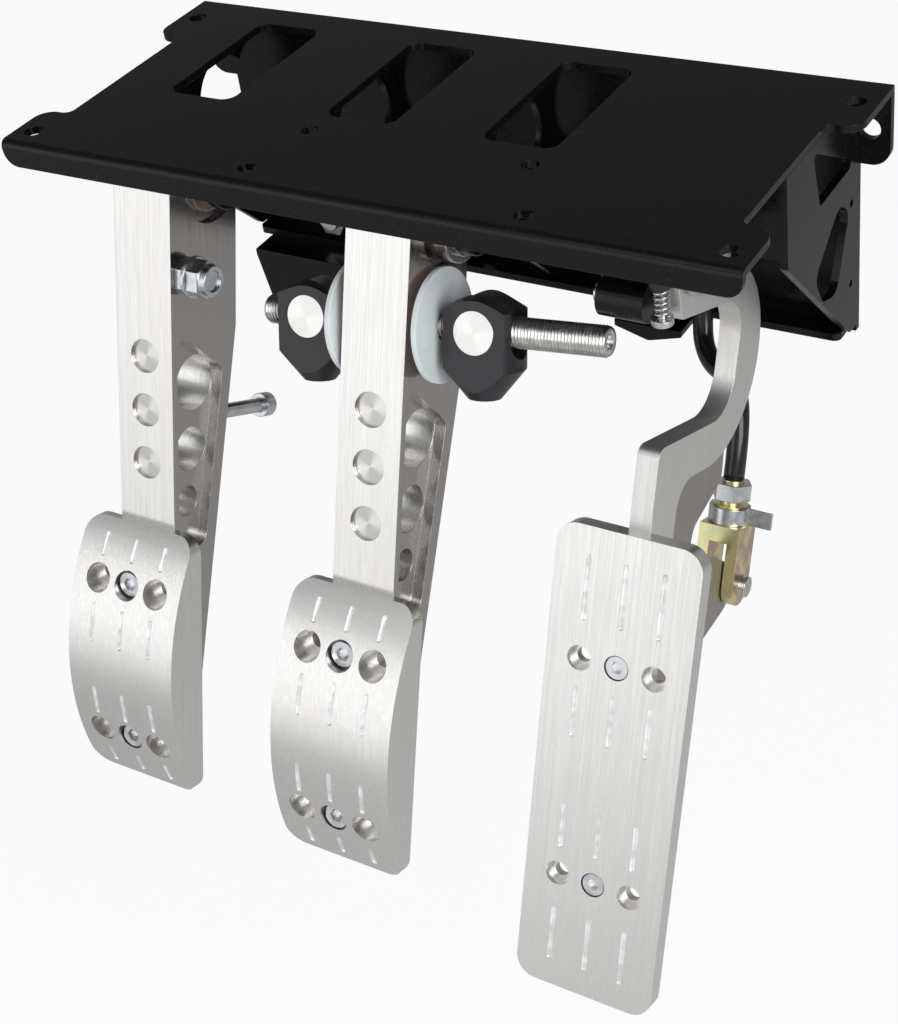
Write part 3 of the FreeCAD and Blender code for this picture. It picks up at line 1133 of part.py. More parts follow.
def cable_end():
    """The yellow fork, its spring clip and its lock nut, in line with the cable."""
    y, z = size.fork_back, -size.fork_drop
    half = size.fork_size / 2
    block = box("fork_block", -half, y - half, z - size.fork_end, size.fork_size, size.fork_size,
                size.fork_end + size.fork_top)
    rounded = fuse("fork_side_view", [
        rod("fork_round", ALONG_X, -half, y, z, half, size.fork_size),
        box("fork_upper", -half, y - half, z, size.fork_size, size.fork_size, size.fork_top)])
    neck = rod("fork_neck_solid", ALONG_Z, 0, y, z + size.fork_top, size.fork_neck,
               size.fork_neck_top - size.fork_top)
    stem = rod("fork_stem", ALONG_Z, 0, y, z + size.fork_neck_top, size.cable_radius,
               size.cable_start - size.fork_neck_top)
    slot = box("fork_slot_tool", -size.fork_slot / 2, y - half, z - size.fork_end, size.fork_slot,
               size.fork_size, size.fork_end + size.fork_slot_top)
    hole = rod("fork_hole", ALONG_X, -half, y, z, size.fork_pin + size.running_gap, size.fork_size)
    fork = fuse("fork_solid", [common("fork_body", block, rounded), neck, stem])
    parts = {"throttle_clevis": cut("throttle_clevis", fork, [slot, hole])}
    bore = size.fork_neck + size.seat_gap
    collar = ring("clip_collar", ALONG_Z, 0, y, z + size.fork_top, bore + size.clip_wall, bore,
                  size.clip_height)
    tab = box("clip_tab_solid", bore, y - size.clip_wall / 2, z + size.fork_top, size.clip_tab - bore,
              size.clip_wall, size.clip_height)
    parts["throttle_clip"] = fuse("throttle_clip", [collar, tab])
    start = z + size.cable_start - size.cable_nut - 1
    nut = hexagon("cable_nut_solid", ALONG_Z, 0, y, start, size.cable_nut_flats, size.cable_nut)
    thread = rod("cable_nut_thread", ALONG_Z, 0, y, start, size.cable_radius + size.seat_gap, size.cable_nut)
    parts["throttle_lock_nut"] = cut("throttle_lock_nut", nut, [thread])
    for name, item in parts.items():
        node(name, lean(item, size.throttle_x, size.throttle_tilt))


def throttle_pivot():
    """The black housing, bolt, washers and nut of the throttle's pivot, and the sprung stop screw."""
    x, y, z = size.throttle_x, size.pivot_y, size.pivot_z
    left = x - size.housing_left
    right = x - size.housing_right
    edge = size.housing_chamfer
    barrel = [
        taper("housing_left_edge", ALONG_X, left, y, z, size.housing_radius - edge, size.housing_radius, edge),
        rod("housing_barrel", ALONG_X, left + edge, y, z, size.housing_radius, right - left - 2 * edge),
        taper("housing_right_edge", ALONG_X, right - edge, y, z, size.housing_radius,
              size.housing_radius - edge, edge),
        box("housing_foot", left + edge, y - size.lug_radius, z, right - left - 2 * edge, 2 * size.lug_radius,
            -z - size.sheet)]
    low_y, low_z = size.stop_barrel_y, size.stop_barrel_z
    low_left = x - size.stop_barrel_left
    barrel.append(rod("stop_barrel_solid", ALONG_X, low_left, low_y, low_z, size.stop_barrel,
                      size.stop_barrel_left - size.stop_barrel_right))
    node("throttle_pivot_housing", cut("throttle_pivot_housing", fuse("housing_solid", barrel), [
        rod("housing_bore", ALONG_X, left, y, z, size.pivot_bolt + size.seat_gap, right - left),
        rod("barrel_screw_hole", ALONG_X, low_left, low_y, low_z, size.barrel_screw + size.seat_gap,
            size.barrel_screw_reach)]))
    node("throttle_housing_screw", screw(
        "throttle_housing_screw", ALONG_X, low_left - size.barrel_screw_height, low_y, low_z,
        size.barrel_screw, size.barrel_screw_reach, size.barrel_screw_head, size.barrel_screw_height,
        size.barrel_screw_head))
    half = size.throttle_thick / 2 + size.throttle_bush_flange_thick + size.side_gap
    washer_bore = size.pivot_bolt + size.running_gap
    washers = [
        ring("throttle_washer_left", ALONG_X, left - size.throttle_washer_thick, y, z, size.throttle_washer,
             washer_bore, size.throttle_washer_thick),
        ring("throttle_washer_right", ALONG_X, x + half, y, z, size.lug_radius, washer_bore,
             size.throttle_washer_thick),
        ring("throttle_washer_inner", ALONG_X, right, y, z, size.throttle_bush_flange, washer_bore,
             x - half - right)]
    node("throttle_washers", fuse("throttle_washers", washers))
    head_at = x + half + size.throttle_washer_thick
    nut_at = left - size.throttle_washer_thick - size.jam_nut
    bolt = [hexagon("throttle_bolt_head", ALONG_X, head_at, y, z, size.pivot_head_flats, size.pivot_head),
            rod("throttle_bolt_shank", ALONG_X, nut_at - 1.5, y, z, size.pivot_bolt, head_at - nut_at + 1.5)]
    node("throttle_pivot_bolt", fuse("throttle_pivot_bolt", bolt))
    node("throttle_pivot_nut", cut("throttle_pivot_nut", hexagon(
        "throttle_nut_solid", ALONG_X, nut_at, y, z, size.pivot_head_flats, size.jam_nut), [
        rod("throttle_nut_thread", ALONG_X, nut_at, y, z, size.pivot_bolt + size.seat_gap, size.jam_nut)]))


def stop_screw_and_spring():
    """The throttle's stop screw hangs from the top plate, held tight by a short spring."""
    x, y = size.stop_spring_x, size.stop_spring_y
    low = size.stop_spring_bottom
    shank = rod("throttle_stop_shank", ALONG_Z, x, y, low, size.throttle_stop, -low - size.sheet)
    head = rod("throttle_stop_cap", ALONG_Z, x, y, low - size.throttle_stop_head_height,
               size.throttle_stop_head, size.throttle_stop_head_height)
    node("throttle_stop_screw", fuse("throttle_stop_screw", [shank, head]))
    seat = ring("throttle_stop_seat", ALONG_Z, x, y, size.stop_spring_top,
                size.stop_spring_coil + 1.5, size.throttle_stop + size.seat_gap,
                -size.stop_spring_top - size.sheet)
    node("throttle_stop_seat", seat)
    height = size.stop_spring_top - low - 2 * size.stop_spring_wire
    path = doc.addObject("Part::Helix", "stop_spring_path")
    bind(path, "Radius", size.stop_spring_coil)
    bind(path, "Pitch", size.stop_spring_pitch)
    bind(path, "Height", height)
    section = doc.addObject("Part::Circle", "stop_spring_section")
    bind(section, "Radius", size.stop_spring_wire)
    section.Placement = Placement(Vector(size.stop_spring_coil.value, 0, 0), Rotation(Vector(1, 0, 0), 90))
    bind(section, "Placement.Base.x", size.stop_spring_coil)
    spring = doc.addObject("Part::Sweep", "throttle_stop_spring")
    spring.Sections = [section]
    spring.Spine = (path, [])
    spring.Solid = True
    spring.Frenet = True
    node("throttle_stop_spring", move(spring, x, y, low + size.stop_spring_wire))


def master_cylinder_fixings():
    """The zinc bolt and nut in the lower bolt hole of the clutch's master cylinder."""
    x = size.slot_left
    z = size.cylinder_z - size.cylinder_stud_half
    inside = size.plate_rear - size.sheet
    radius = size.cylinder_stud - size.seat_gap * 10
    shank = rod("cylinder_bolt_shank", ALONG_Y, x, inside - 10, z, radius, size.sheet + 10)
    head = hexagon("cylinder_bolt_head", ALONG_Y, x, size.plate_rear, z, size.cross_flats, amount(5.3))
    node("cylinder_bolt", fuse("cylinder_bolt", [shank, head]))
    nut = hexagon("cylinder_nut_solid", ALONG_Y, x, inside - 8, z, size.cross_flats, amount(8))
    thread = rod("cylinder_nut_thread", ALONG_Y, x, inside - 8, z, radius + size.seat_gap, amount(8))
    node("cylinder_nut", cut("cylinder_nut", nut, [thread]))


def cable_route():
    """The cable's points from its end at the fork to the ferrule, and the ferrule's elbow."""
    tilt = math.radians(size.throttle_tilt.value)
    y = size.fork_back.value
    z = size.cable_start.value - size.fork_drop.value + size.running_gap.value
    start = Vector(size.throttle_x.value,
                   size.pivot_y.value + y * math.cos(tilt) + z * math.sin(tilt),
                   size.pivot_z.value - y * math.sin(tilt) + z * math.cos(tilt))
    elbow = Vector(size.ferrule_x.value,
                   size.plate_rear.value - size.sheet.value - size.ferrule_stand.value,
                   size.ferrule_z.value)
    points = [start] + [Vector(*point) for point in CABLE_POINTS]
    last_run = (elbow - points[-1]).normalize()
    return points + [elbow - last_run * size.ferrule_cup.value], elbow, last_run


def smooth_wire(points):
    """Straight runs joined by tangent arcs, each as large as its two runs allow."""
    edges = []
    last = points[0]
    for before, corner, after in zip(points, points[1:], points[2:]):
        back = before - corner
        ahead = after - corner
        half_turn = (math.pi - back.getAngle(ahead)) / 2
        reach = 0.45 * min(back.Length, ahead.Length)
        radius = reach / math.tan(half_turn)
        print(f"cable radius {radius:.1f} at {corner.x:.0f}, {corner.y:.0f}, {corner.z:.0f}")
        back = back.normalize()
        ahead = ahead.normalize()
        first = corner + back * reach
        final = corner + ahead * reach
        inward = (back + ahead).normalize()
        middle = corner + inward * (radius / math.cos(half_turn) - radius)
        edges.append(Part.LineSegment(last, first).toShape())
        edges.append(Part.Arc(first, middle, final).toShape())
        last = final
    edges.append(Part.LineSegment(last, points[-1]).toShape())
    return Part.Wire(edges)


def throttle_cable():
    """The black sheath from the fork to an angled ferrule in the rear plate."""
    points, elbow, last_run = cable_route()
    wire = smooth_wire(points)
    radius = size.cable_radius.value
    circle = Part.Circle(points[0], points[1] - points[0], radius).toShape()
    shape = wire.makePipeShell([Part.Wire([circle])], True, False)
    expected = math.pi * radius ** 2 * wire.Length
    print(f"cable length {wire.Length:.1f}, volume {shape.Volume:.0f} of {expected:.0f}")
    item = doc.addObject("Part::Feature", "throttle_cable")
    item.Shape = shape
    node("throttle_cable", item)
    x, z = size.ferrule_x, size.ferrule_z
    y = size.plate_rear - size.sheet - size.ferrule_stand
    length = size.ferrule_cup + size.ferrule_mouth
    turn = Rotation(Vector(0, 0, 1), last_run)
    rim = elbow - last_run * length.value
    collar = rod("ferrule_collar", turn, rim.x, rim.y, rim.z, size.ferrule_radius, length)
    shank = rod("ferrule_shank", ALONG_Y, x, y, z, size.ferrule_shank,
                size.ferrule_stand + size.sheet + size.ferrule_reach)
    mouth = rod("ferrule_mouth", turn, rim.x, rim.y, rim.z, size.cable_radius + size.seat_gap,
                size.ferrule_mouth)
    solid = fuse("ferrule_solid", [collar, shank, ball("ferrule_elbow", x, y, z, size.ferrule_radius)])
    node("cable_ferrule", cut("cable_ferrule", solid, [mouth]))


def check_and_write():
    """Refuse a failed document, then write each sub-part to its own file."""
    doc.recompute()
    for item in doc.Objects:
        if "Invalid" in item.State or "Error" in item.State:
            raise RuntimeError(f"{item.Name} failed: {item.State}")
    os.makedirs("parts", exist_ok=True)
    for name, item in nodes.items():
        shape = item.Shape
        if shape.isNull() or not shape.isValid() or not shape.Solids:
            raise RuntimeError(f"{name} has no valid solid")
        shape.exportStep(f"parts/{name}.step")
        print(f"{name}: {len(shape.Solids)} solids, {shape.Volume / 1000:.2f} cm3")


mount_plate()
rear_plate()
side_gussets()
inner_gussets()
lower_brackets()
pivots()
clutch_pedal()
brake_pedal()
balance_bar()
throttle_pedal()
cable_end()
throttle_pivot()
stop_screw_and_spring()
master_cylinder_fixings()
throttle_cable()
check_and_write()
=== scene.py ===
"""The looks of a pedal box: a black folded frame with three pedals, a balance bar and a throttle cable.

Laid out as a Blender add-on and run as a script. Metres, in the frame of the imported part.
"""

import json
import math

import bmesh
import bpy
from mathutils import Matrix, Vector


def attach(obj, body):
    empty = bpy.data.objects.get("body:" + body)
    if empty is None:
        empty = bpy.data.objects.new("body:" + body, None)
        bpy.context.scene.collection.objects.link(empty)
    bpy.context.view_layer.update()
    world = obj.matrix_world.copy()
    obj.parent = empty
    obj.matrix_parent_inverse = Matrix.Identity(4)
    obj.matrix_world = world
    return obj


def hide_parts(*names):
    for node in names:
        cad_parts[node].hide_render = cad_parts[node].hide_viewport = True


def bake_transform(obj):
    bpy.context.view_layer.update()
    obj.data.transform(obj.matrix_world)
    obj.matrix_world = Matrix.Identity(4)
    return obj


bl_info = {
    "name": "Pedal Box",
    "version": (1, 0, 0),
    "blender": (4, 5, 0),
    "location": "View3D > Sidebar > Pedal Box",
    "description": "Builds a hanging pedal box with machined pedals, and a studio to show it in",
    "category": "Object",
}

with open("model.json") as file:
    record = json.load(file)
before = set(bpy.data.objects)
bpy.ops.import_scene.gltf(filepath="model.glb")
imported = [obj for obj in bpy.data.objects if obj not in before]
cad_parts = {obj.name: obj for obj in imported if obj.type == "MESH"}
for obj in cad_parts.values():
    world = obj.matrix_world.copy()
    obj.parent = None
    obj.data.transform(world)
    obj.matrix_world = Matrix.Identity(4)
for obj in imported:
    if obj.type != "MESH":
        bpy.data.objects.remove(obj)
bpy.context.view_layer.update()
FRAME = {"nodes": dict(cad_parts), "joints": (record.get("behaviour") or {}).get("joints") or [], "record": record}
MM = 0.001
JOINTS = {joint["name"]: joint for joint in FRAME["joints"]}
BODY_OF = {node: body for body, nodes in FRAME["record"]["behaviour"]["bodies"].items() for node in nodes}

PLATES = ("mount_plate", "rear_plate", "side_gusset_left", "side_gusset_right", "inner_gusset_left",
          "inner_gusset_right", "lower_bracket_left", "lower_bracket_right", "clutch_pivot_lugs",
          "brake_pivot_lugs", "throttle_pivot_housing")
PADS = ("clutch_pad", "brake_pad", "throttle_pad")
BLACK_FITTINGS = ("clevis_left", "clevis_right", "throttle_stop_seat")
TURNED = ("bias_tube", "bias_race", "bias_circlips", "bias_ball", "brake_spacers", "clutch_spacers",
          "brake_washer", "throttle_washers", "throttle_clevis_pin")
ZINC = ("clutch_pivot_bolt", "clutch_pivot_nut", "brake_pivot_bolt", "brake_pivot_nut", "clutch_cross_bolt",
        "clutch_cross_washer", "clutch_cross_nut", "clutch_stop_nut", "cylinder_bolt",
        "cylinder_nut", "cable_ferrule", "throttle_pivot_bolt", "throttle_pivot_nut", "throttle_stop_screw",
        "throttle_lock_nut", "throttle_clip", "throttle_housing_screw", "clutch_stop_screw")
BUSHES = ("clutch_bushes", "brake_bushes", "throttle_bushes")

# The points that pull on the cable's centre line, from the fork to the ferrule, in millimetres
CABLE_LINE = [(112.0, 4.03, -133.02), (112.0, 12.0, -112.9), (104.0, 26.0, -105.5), (88.0, 36.5, -107.0),
              (80.5, 47.5, -97.0), (81.946, 54.489, -65.107)]

# The pivot line's place, and each pedal's middle plane and lean, as in the part
PIVOT = Vector((0.0, -27.5, -23.5)) * MM
LEAN = {"clutch": 18.2, "brake": 19.75, "throttle": 21.58}
MIDDLE = {"clutch": -94.5, "brake": 9.0, "throttle": 112.0}

# The arms' front face and its dimples, and the pads' faces, in millimetres from the pivot line
ARM_FRONT = 24.3
DIMPLE_DROP = 65.5
DIMPLE_STEP = 21.5
DIMPLE_DEPTH = 1.5
DIMPLE_REACH = 7.0
EAR_REACH = 3.2
PAD_FLAT = 19.35
PAD_ARC = 106.1
DOME_BACK = -62.35
DOME_DROP = 189.5
GROOVE_DEPTHS = (0.05, 1.0)

# The pads' screws in millimetres: head radius and height, shank radius and length
SCREWS = {"clutch": (5.0, 6.0, 3.0, 14.5), "brake": (5.0, 6.0, 3.0, 14.5), "throttle": (4.25, 3.6, 2.5, 15.2)}
HEAD_GAP = 0.12
RIDGE_RADIUS = 0.13
SOCKET_SHARE = 0.56

# The recess in the balance bar's right end: how far in each ring lies and its radius, in millimetres
BAR_RECESS = ((0.0, 2.6), (0.2, 2.4), (3.4, 2.35), (4.0, 1.2))
BAR_SIDES = 28

# The photograph's camera: its right, up and back directions, and where it stands
CAMERA_RIGHT = (0.854362, 0.504452, -0.124874)
CAMERA_UP = (-0.22566, 0.576574, 0.785264)
CAMERA_BACK = (0.468127, -0.642721, 0.606438)
CAMERA_PLACE = (0.34875, -0.50702, 0.29123)
CAMERA_LENS = 65.97
CAMERA_SHIFT = (0.0073, 0.0058)

# The studio: each lamp's place, target and size, the floor, and the world's brightness by direction
LAMPS = (("key", (-0.62, -1.15, -0.02), (0, 0, -0.12), 1.2), ("fill", (1.0, -0.55, 0.4), (0, 0, -0.12), 0.8),
         ("top", (-0.1, -0.7, 0.9), (0, 0, -0.1), 0.7))
FLOOR_REACH = 12.0
FLOOR_WHITE = 0.94
FRONT_DIRECTION = (-0.1, -0.97, 0.2)
FRONT_LEVEL = 0.66
HORIZON_LEVEL = 0.5
LOWEST_LEVEL = 0.08


def colour_setting(name, description, default):
    """A colour that a user can change."""
    return bpy.props.FloatVectorProperty(name=name, description=description, subtype="COLOR", size=3,
                                         min=0.0, max=1.0, default=default)


def length_setting(name, description, default):
    """A length in metres that a user can change."""
    return bpy.props.FloatProperty(name=name, description=description, subtype="DISTANCE", unit="LENGTH",
                                   min=0.0, default=default, precision=5)


class PedalBoxColours(bpy.types.PropertyGroup):
    """The colours of the finishes."""

    paint: colour_setting("Frame paint", "Powder coat on the folded frame", (0.0045, 0.0045, 0.005))
    arm: colour_setting("Pedal arms", "Milled aluminium of the arms", (0.80, 0.79, 0.775))
    # The arm sides' darker colour is painted shade: the same aluminium as the arms, darker on the faces that look
    # sideways.
    side: colour_setting("Arm sides", "Smoother, darker sides of the arms", (0.46, 0.43, 0.41))
    pad: colour_setting("Pads", "Brushed aluminium of the pads", (0.79, 0.78, 0.765))
    anodised: colour_setting("Clevises", "Black anodised fittings", (0.012, 0.013, 0.016))
    turned: colour_setting("Turned steel", "Bright turned steel of the balance bar", (0.66, 0.65, 0.63))
    zinc: colour_setting("Zinc", "Zinc plated fasteners", (0.63, 0.65, 0.67))
    yellow: colour_setting("Yellow zinc", "Yellow passivated fork", (0.92, 0.80, 0.42))
    yellow_side: colour_setting("Yellow zinc, sides", "Mauve tint on the fork's sides", (0.58, 0.44, 0.38))
    nylon: colour_setting("Nylon", "Discs beside the brake arm", (0.86, 0.89, 0.90))
    bronze: colour_setting("Bushes", "Bronze of the pivot bushes", (0.42, 0.36, 0.30))
    # The ear's sides get a darker colour than the rest of the arm.
    ear: colour_setting("Ear", "Dull rear ear of the throttle arm", (0.42, 0.395, 0.38))
    sheath: colour_setting("Cable", "Sheath of the throttle cable", (0.012, 0.012, 0.012))
    floor: colour_setting("Floor", "The studio floor", (0.88, 0.88, 0.88))


class PedalBoxSizes(bpy.types.PropertyGroup):
    """The sizes of the details."""

    plate_edge: length_setting("Plate edge", "Rounding of the folded plates' edges", 0.0005)
    arm_edge: length_setting("Arm edge", "Rounding of the machined edges", 0.0004)
    fitting_edge: length_setting("Fitting edge", "Rounding of small turned and plated parts", 0.0003)
    bar_radius: length_setting("Bar radius", "Outside radius of the balance bar's thread", 0.00555)
    bar_pitch: length_setting("Bar pitch", "Pitch of the balance bar's thread", 0.00127)
    bar_depth: length_setting("Thread depth", "Depth of the balance bar's thread", 0.00062)
    bar_left: length_setting("Bar left", "Left end of the bar from its bearing", 0.055)
    bar_right: length_setting("Bar right", "Right end of the bar from its bearing", 0.082)
    cable_radius: length_setting("Cable radius", "Outside radius of the cable's sheath", 0.0039)
    knurl_count: bpy.props.IntProperty(name="Knurls", description="Ridges round a screw's head",
                                       min=8, max=120, default=48)


class PedalBoxStage(bpy.types.PropertyGroup):
    """The studio's lamps and floor."""

    key_power: bpy.props.FloatProperty(name="Key lamp", description="Power of the large front lamp",
                                       subtype="POWER", unit="POWER", min=0.0, default=3.6)
    fill_power: bpy.props.FloatProperty(name="Fill lamp", description="Power of the lamp on the right",
                                        subtype="POWER", unit="POWER", min=0.0, default=10.0)
    top_power: bpy.props.FloatProperty(name="Top lamp", description="Power of the small lamp above",
                                       subtype="POWER", unit="POWER", min=0.0, default=0.9)
    mirror_share: bpy.props.FloatProperty(name="Mirrored white", description="How much white metal mirrors",
                                          subtype="FACTOR", min=0.0, max=1.0, default=0.1)
    floor_height: bpy.props.FloatProperty(name="Floor height", description="Height of the studio floor",
                                          subtype="DISTANCE", unit="LENGTH", default=-0.42)


# Shader groups shared by the finishes


def new_group(name, inputs, outputs):
    """An empty shader group with named sockets; each is (name, socket type, default)."""
    group = bpy.data.node_groups.new(name, "ShaderNodeTree")
    for label, kind, default in inputs:
        socket = group.interface.new_socket(label, in_out="INPUT", socket_type=kind)
        if default is not None:
            socket.default_value = default
    for label, kind in outputs:
        group.interface.new_socket(label, in_out="OUTPUT", socket_type=kind)
    return group, group.nodes.new("NodeGroupInput"), group.nodes.new("NodeGroupOutput")


def add_node(tree, kind, values=None, **settings):
    """A new node with its settings and its unlinked inputs filled in."""
    made = tree.nodes.new(kind)
    for key, value in settings.items():
        setattr(made, key, value)
    for key, value in (values or {}).items():
        made.inputs[key].default_value = value
    return made


def stretched_noise(tree, vector, scale, detail):
    """Noise on a vector that is first stretched along its axes."""
    stretch = add_node(tree, "ShaderNodeVectorMath", {1: scale}, operation="MULTIPLY")
    tree.links.new(vector, stretch.inputs[0])
    noise = add_node(tree, "ShaderNodeTexNoise", {"Scale": 1.0, "Detail": detail, "Roughness": 0.5})
    tree.links.new(stretch.outputs[0], noise.inputs["Vector"])
    return noise.outputs["Fac"]


def ramp(tree, value, low, high):
    """A smooth step of a value from low to high."""
    made = add_node(tree, "ShaderNodeMapRange", {"From Min": low, "From Max": high},
                    interpolation_type="SMOOTHSTEP")
    tree.links.new(value, made.inputs["Value"])
    return made.outputs["Result"]


def maths(tree, operation, first, second):
    """A maths node on two values or sockets."""
    made = add_node(tree, "ShaderNodeMath", operation=operation)
    for number, value in enumerate((first, second)):
        if isinstance(value, (int, float)):
            made.inputs[number].default_value = value
        else:
            tree.links.new(value, made.inputs[number])
    return made.outputs[0]


def brushed_group():
    """Long fine lines along the vector's Z, and a slow change of tone."""
    group, inside, outside = new_group("brushed_lines", [("Vector", "NodeSocketVector", None)],
                                       [("Lines", "NodeSocketFloat"), ("Tone", "NodeSocketFloat")])
    vector = inside.outputs["Vector"]
    fine = stretched_noise(group, vector, (5200.0, 5200.0, 60.0), 2.0)
    coarse = stretched_noise(group, vector, (1500.0, 1500.0, 14.0), 3.0)
    both = maths(group, "ADD", maths(group, "MULTIPLY", fine, 0.55), maths(group, "MULTIPLY", coarse, 0.45))
    group.links.new(ramp(group, both, 0.3, 0.7), outside.inputs["Lines"])
    group.links.new(stretched_noise(group, vector, (34.0, 34.0, 22.0), 2.0), outside.inputs["Tone"])
    return group


def handling_group():
    """Fine straight scratches in three directions, as on a part that has been handled."""
    group, inside, outside = new_group("handling_marks", [("Vector", "NodeSocketVector", None)],
                                       [("Marks", "NodeSocketFloat")])
    total = None
    for number, (turn, threshold) in enumerate([((0.3, 0.2, 0.7), 0.70), ((0.1, 0.9, 2.0), 0.715),
                                                ((0.8, 0.1, 3.9), 0.725)]):
        place = (number * 3.1, 1.7, 0.4)
        rotate = add_node(group, "ShaderNodeMapping", {"Rotation": turn, "Location": place})
        group.links.new(inside.outputs["Vector"], rotate.inputs["Vector"])
        lines = stretched_noise(group, rotate.outputs[0], (1900.0, 21.0, 900.0), 1.0)
        marks = ramp(group, lines, threshold, threshold + 0.05)
        total = marks if total is None else maths(group, "MAXIMUM", total, marks)
    group.links.new(total, outside.inputs["Marks"])
    return group


def texture_group():
    """Small soft bumps, as on powder coat or a blasted surface, and specks of dust."""
    group, inside, outside = new_group("fine_texture", [("Vector", "NodeSocketVector", None),
                                                        ("Scale", "NodeSocketFloat", 1500.0)],
                                       [("Height", "NodeSocketFloat"), ("Dust", "NodeSocketFloat")])
    noise = add_node(group, "ShaderNodeTexNoise", {"Detail": 1.0})
    group.links.new(inside.outputs["Vector"], noise.inputs["Vector"])
    group.links.new(inside.outputs["Scale"], noise.inputs["Scale"])
    group.links.new(noise.outputs["Fac"], outside.inputs["Height"])
    specks = add_node(group, "ShaderNodeTexVoronoi", {"Scale": 420.0})
    group.links.new(inside.outputs["Vector"], specks.inputs["Vector"])
    near = ramp(group, specks.outputs["Distance"], 0.085, 0.05)
    few = add_node(group, "ShaderNodeSeparateColor")
    group.links.new(specks.outputs["Color"], few.inputs[0])
    group.links.new(maths(group, "MULTIPLY", near, maths(group, "GREATER_THAN", few.outputs[0], 0.82)),
                    outside.inputs["Dust"])
    return group


def turned_group():
    """Rings round the vector's Z axis, as a lathe or an end mill leaves them, again at each step along Y, and a
    painted highlight in two opposite lobes round the axis.
    """
    group, inside, outside = new_group("turned_rings", [("Vector", "NodeSocketVector", None),
                                                        ("Pitch", "NodeSocketFloat", 0.0004),
                                                        ("Step", "NodeSocketFloat", 1.0)],
                                       [("Rings", "NodeSocketFloat"), ("Glint", "NodeSocketFloat")])
    parts = group.nodes.new("ShaderNodeSeparateXYZ")
    group.links.new(inside.outputs["Vector"], parts.inputs[0])
    half = maths(group, "MULTIPLY", inside.outputs["Step"], 0.5)
    wrap = add_node(group, "ShaderNodeMath", operation="WRAP")
    group.links.new(parts.outputs["Y"], wrap.inputs[0])
    group.links.new(half, wrap.inputs[1])
    group.links.new(maths(group, "MULTIPLY", half, -1.0), wrap.inputs[2])
    flat = group.nodes.new("ShaderNodeCombineXYZ")
    group.links.new(parts.outputs["X"], flat.inputs["X"])
    group.links.new(wrap.outputs[0], flat.inputs["Y"])
    angle = maths(group, "ARCTAN2", wrap.outputs[0], parts.outputs["X"])
    # Painted highlight: brighter in two opposite lobes round the axis, standing in for the radial reflection of a
    # turned face.
    painted_glint = maths(group, "SINE", maths(group, "ADD", maths(group, "MULTIPLY", angle, 2.0), 0.6), 0.0)
    group.links.new(ramp(group, painted_glint, -0.8, 1.0), outside.inputs["Glint"])
    length = add_node(group, "ShaderNodeVectorMath", operation="LENGTH")
    group.links.new(flat.outputs[0], length.inputs[0])
    turns = maths(group, "DIVIDE", length.outputs["Value"], inside.outputs["Pitch"])
    wave = maths(group, "SINE", maths(group, "MULTIPLY", turns, 2 * math.pi), 0.0)
    group.links.new(ramp(group, wave, -1.0, 1.0), outside.inputs["Rings"])
    return group


GROUPS = {}
MATERIALS = {}


def group_node(tree, name):
    """Place a shared group, built the first time it is asked for."""
    makers = {"brushed_lines": brushed_group, "handling_marks": handling_group,
              "fine_texture": texture_group, "turned_rings": turned_group}
    if name not in GROUPS:
        GROUPS[name] = makers[name]()
    made = tree.nodes.new("ShaderNodeGroup")
    made.node_tree = GROUPS[name]
    return made


class Finish:
    """A material under construction: its tree, its shader and its object coordinates."""

    def __init__(self, name, turn=(0.0, 0.0, 0.0), place=(0.0, 0.0, 0.0)):
        self.material = bpy.data.materials.new(name)
        self.material.use_nodes = True
        self.tree = self.material.node_tree
        self.shader = self.tree.nodes["Principled BSDF"]
        coordinates = self.tree.nodes.new("ShaderNodeTexCoord")
        self.mapping = add_node(self.tree, "ShaderNodeMapping", {"Rotation": turn, "Location": place})
        self.tree.links.new(coordinates.outputs["Object"], self.mapping.inputs["Vector"])
        self.vector = self.mapping.outputs["Vector"]

    def group(self, name, values=None):
        """A shared group on the object coordinates."""
        made = group_node(self.tree, name)
        self.tree.links.new(self.vector, made.inputs["Vector"])
        for key, value in (values or {}).items():
            made.inputs[key].default_value = value
        return made

    def blend(self, first, second, share):
        """A colour between two, by a share that changes over the surface."""
        mix = add_node(self.tree, "ShaderNodeMix", data_type="RGBA")
        for socket, value in ((mix.inputs[6], first), (mix.inputs[7], second)):
            if isinstance(value, tuple):
                socket.default_value = (*value[:3], 1.0)
            else:
                self.tree.links.new(value, socket)
        self.tree.links.new(share, mix.inputs[0])
        return mix.outputs[2]

    def spread(self, value, low, high):
        """A value from nought to one, spread between two numbers."""
        made = add_node(self.tree, "ShaderNodeMapRange", {"To Min": low, "To Max": high})
        self.tree.links.new(value, made.inputs["Value"])
        return made.outputs["Result"]

    def feed(self, socket, value):
        """Link a value to one of the shader's sockets."""
        self.tree.links.new(value, self.shader.inputs[socket])

    def bump(self, height, strength, distance):
        """Small relief from a height."""
        made = add_node(self.tree, "ShaderNodeBump", {"Strength": strength, "Distance": distance})
        self.tree.links.new(height, made.inputs["Height"])
        self.feed("Normal", made.outputs["Normal"])


def scaled(colour, factor):
    """A darker or lighter version of a colour."""
    return tuple(min(1.0, part * factor) for part in colour)


def painted_finish(colours):
    """Gloss black powder coat with a faint texture, fine scratches and specks of dust."""
    finish = Finish("black_powder_coat")
    texture = finish.group("fine_texture", {"Scale": 900.0})
    marks = finish.group("handling_marks")
    paint = tuple(colours.paint)
    dust = maths(finish.tree, "MULTIPLY", texture.outputs["Dust"], 0.3)
    dusty = finish.blend(paint, (0.10, 0.10, 0.105), dust)
    faint = maths(finish.tree, "MULTIPLY", marks.outputs["Marks"], 0.16)
    colour = finish.blend(dusty, (0.07, 0.07, 0.072), faint)
    finish.feed("Base Color", colour)
    finish.shader.inputs["Specular IOR Level"].default_value = 0.25
    rough = maths(finish.tree, "ADD", finish.spread(texture.outputs["Height"], 0.17, 0.23),
                  maths(finish.tree, "MULTIPLY", marks.outputs["Marks"], 0.25))
    finish.feed("Roughness", rough)
    finish.bump(texture.outputs["Height"], 0.10, 0.00006)
    return finish.material


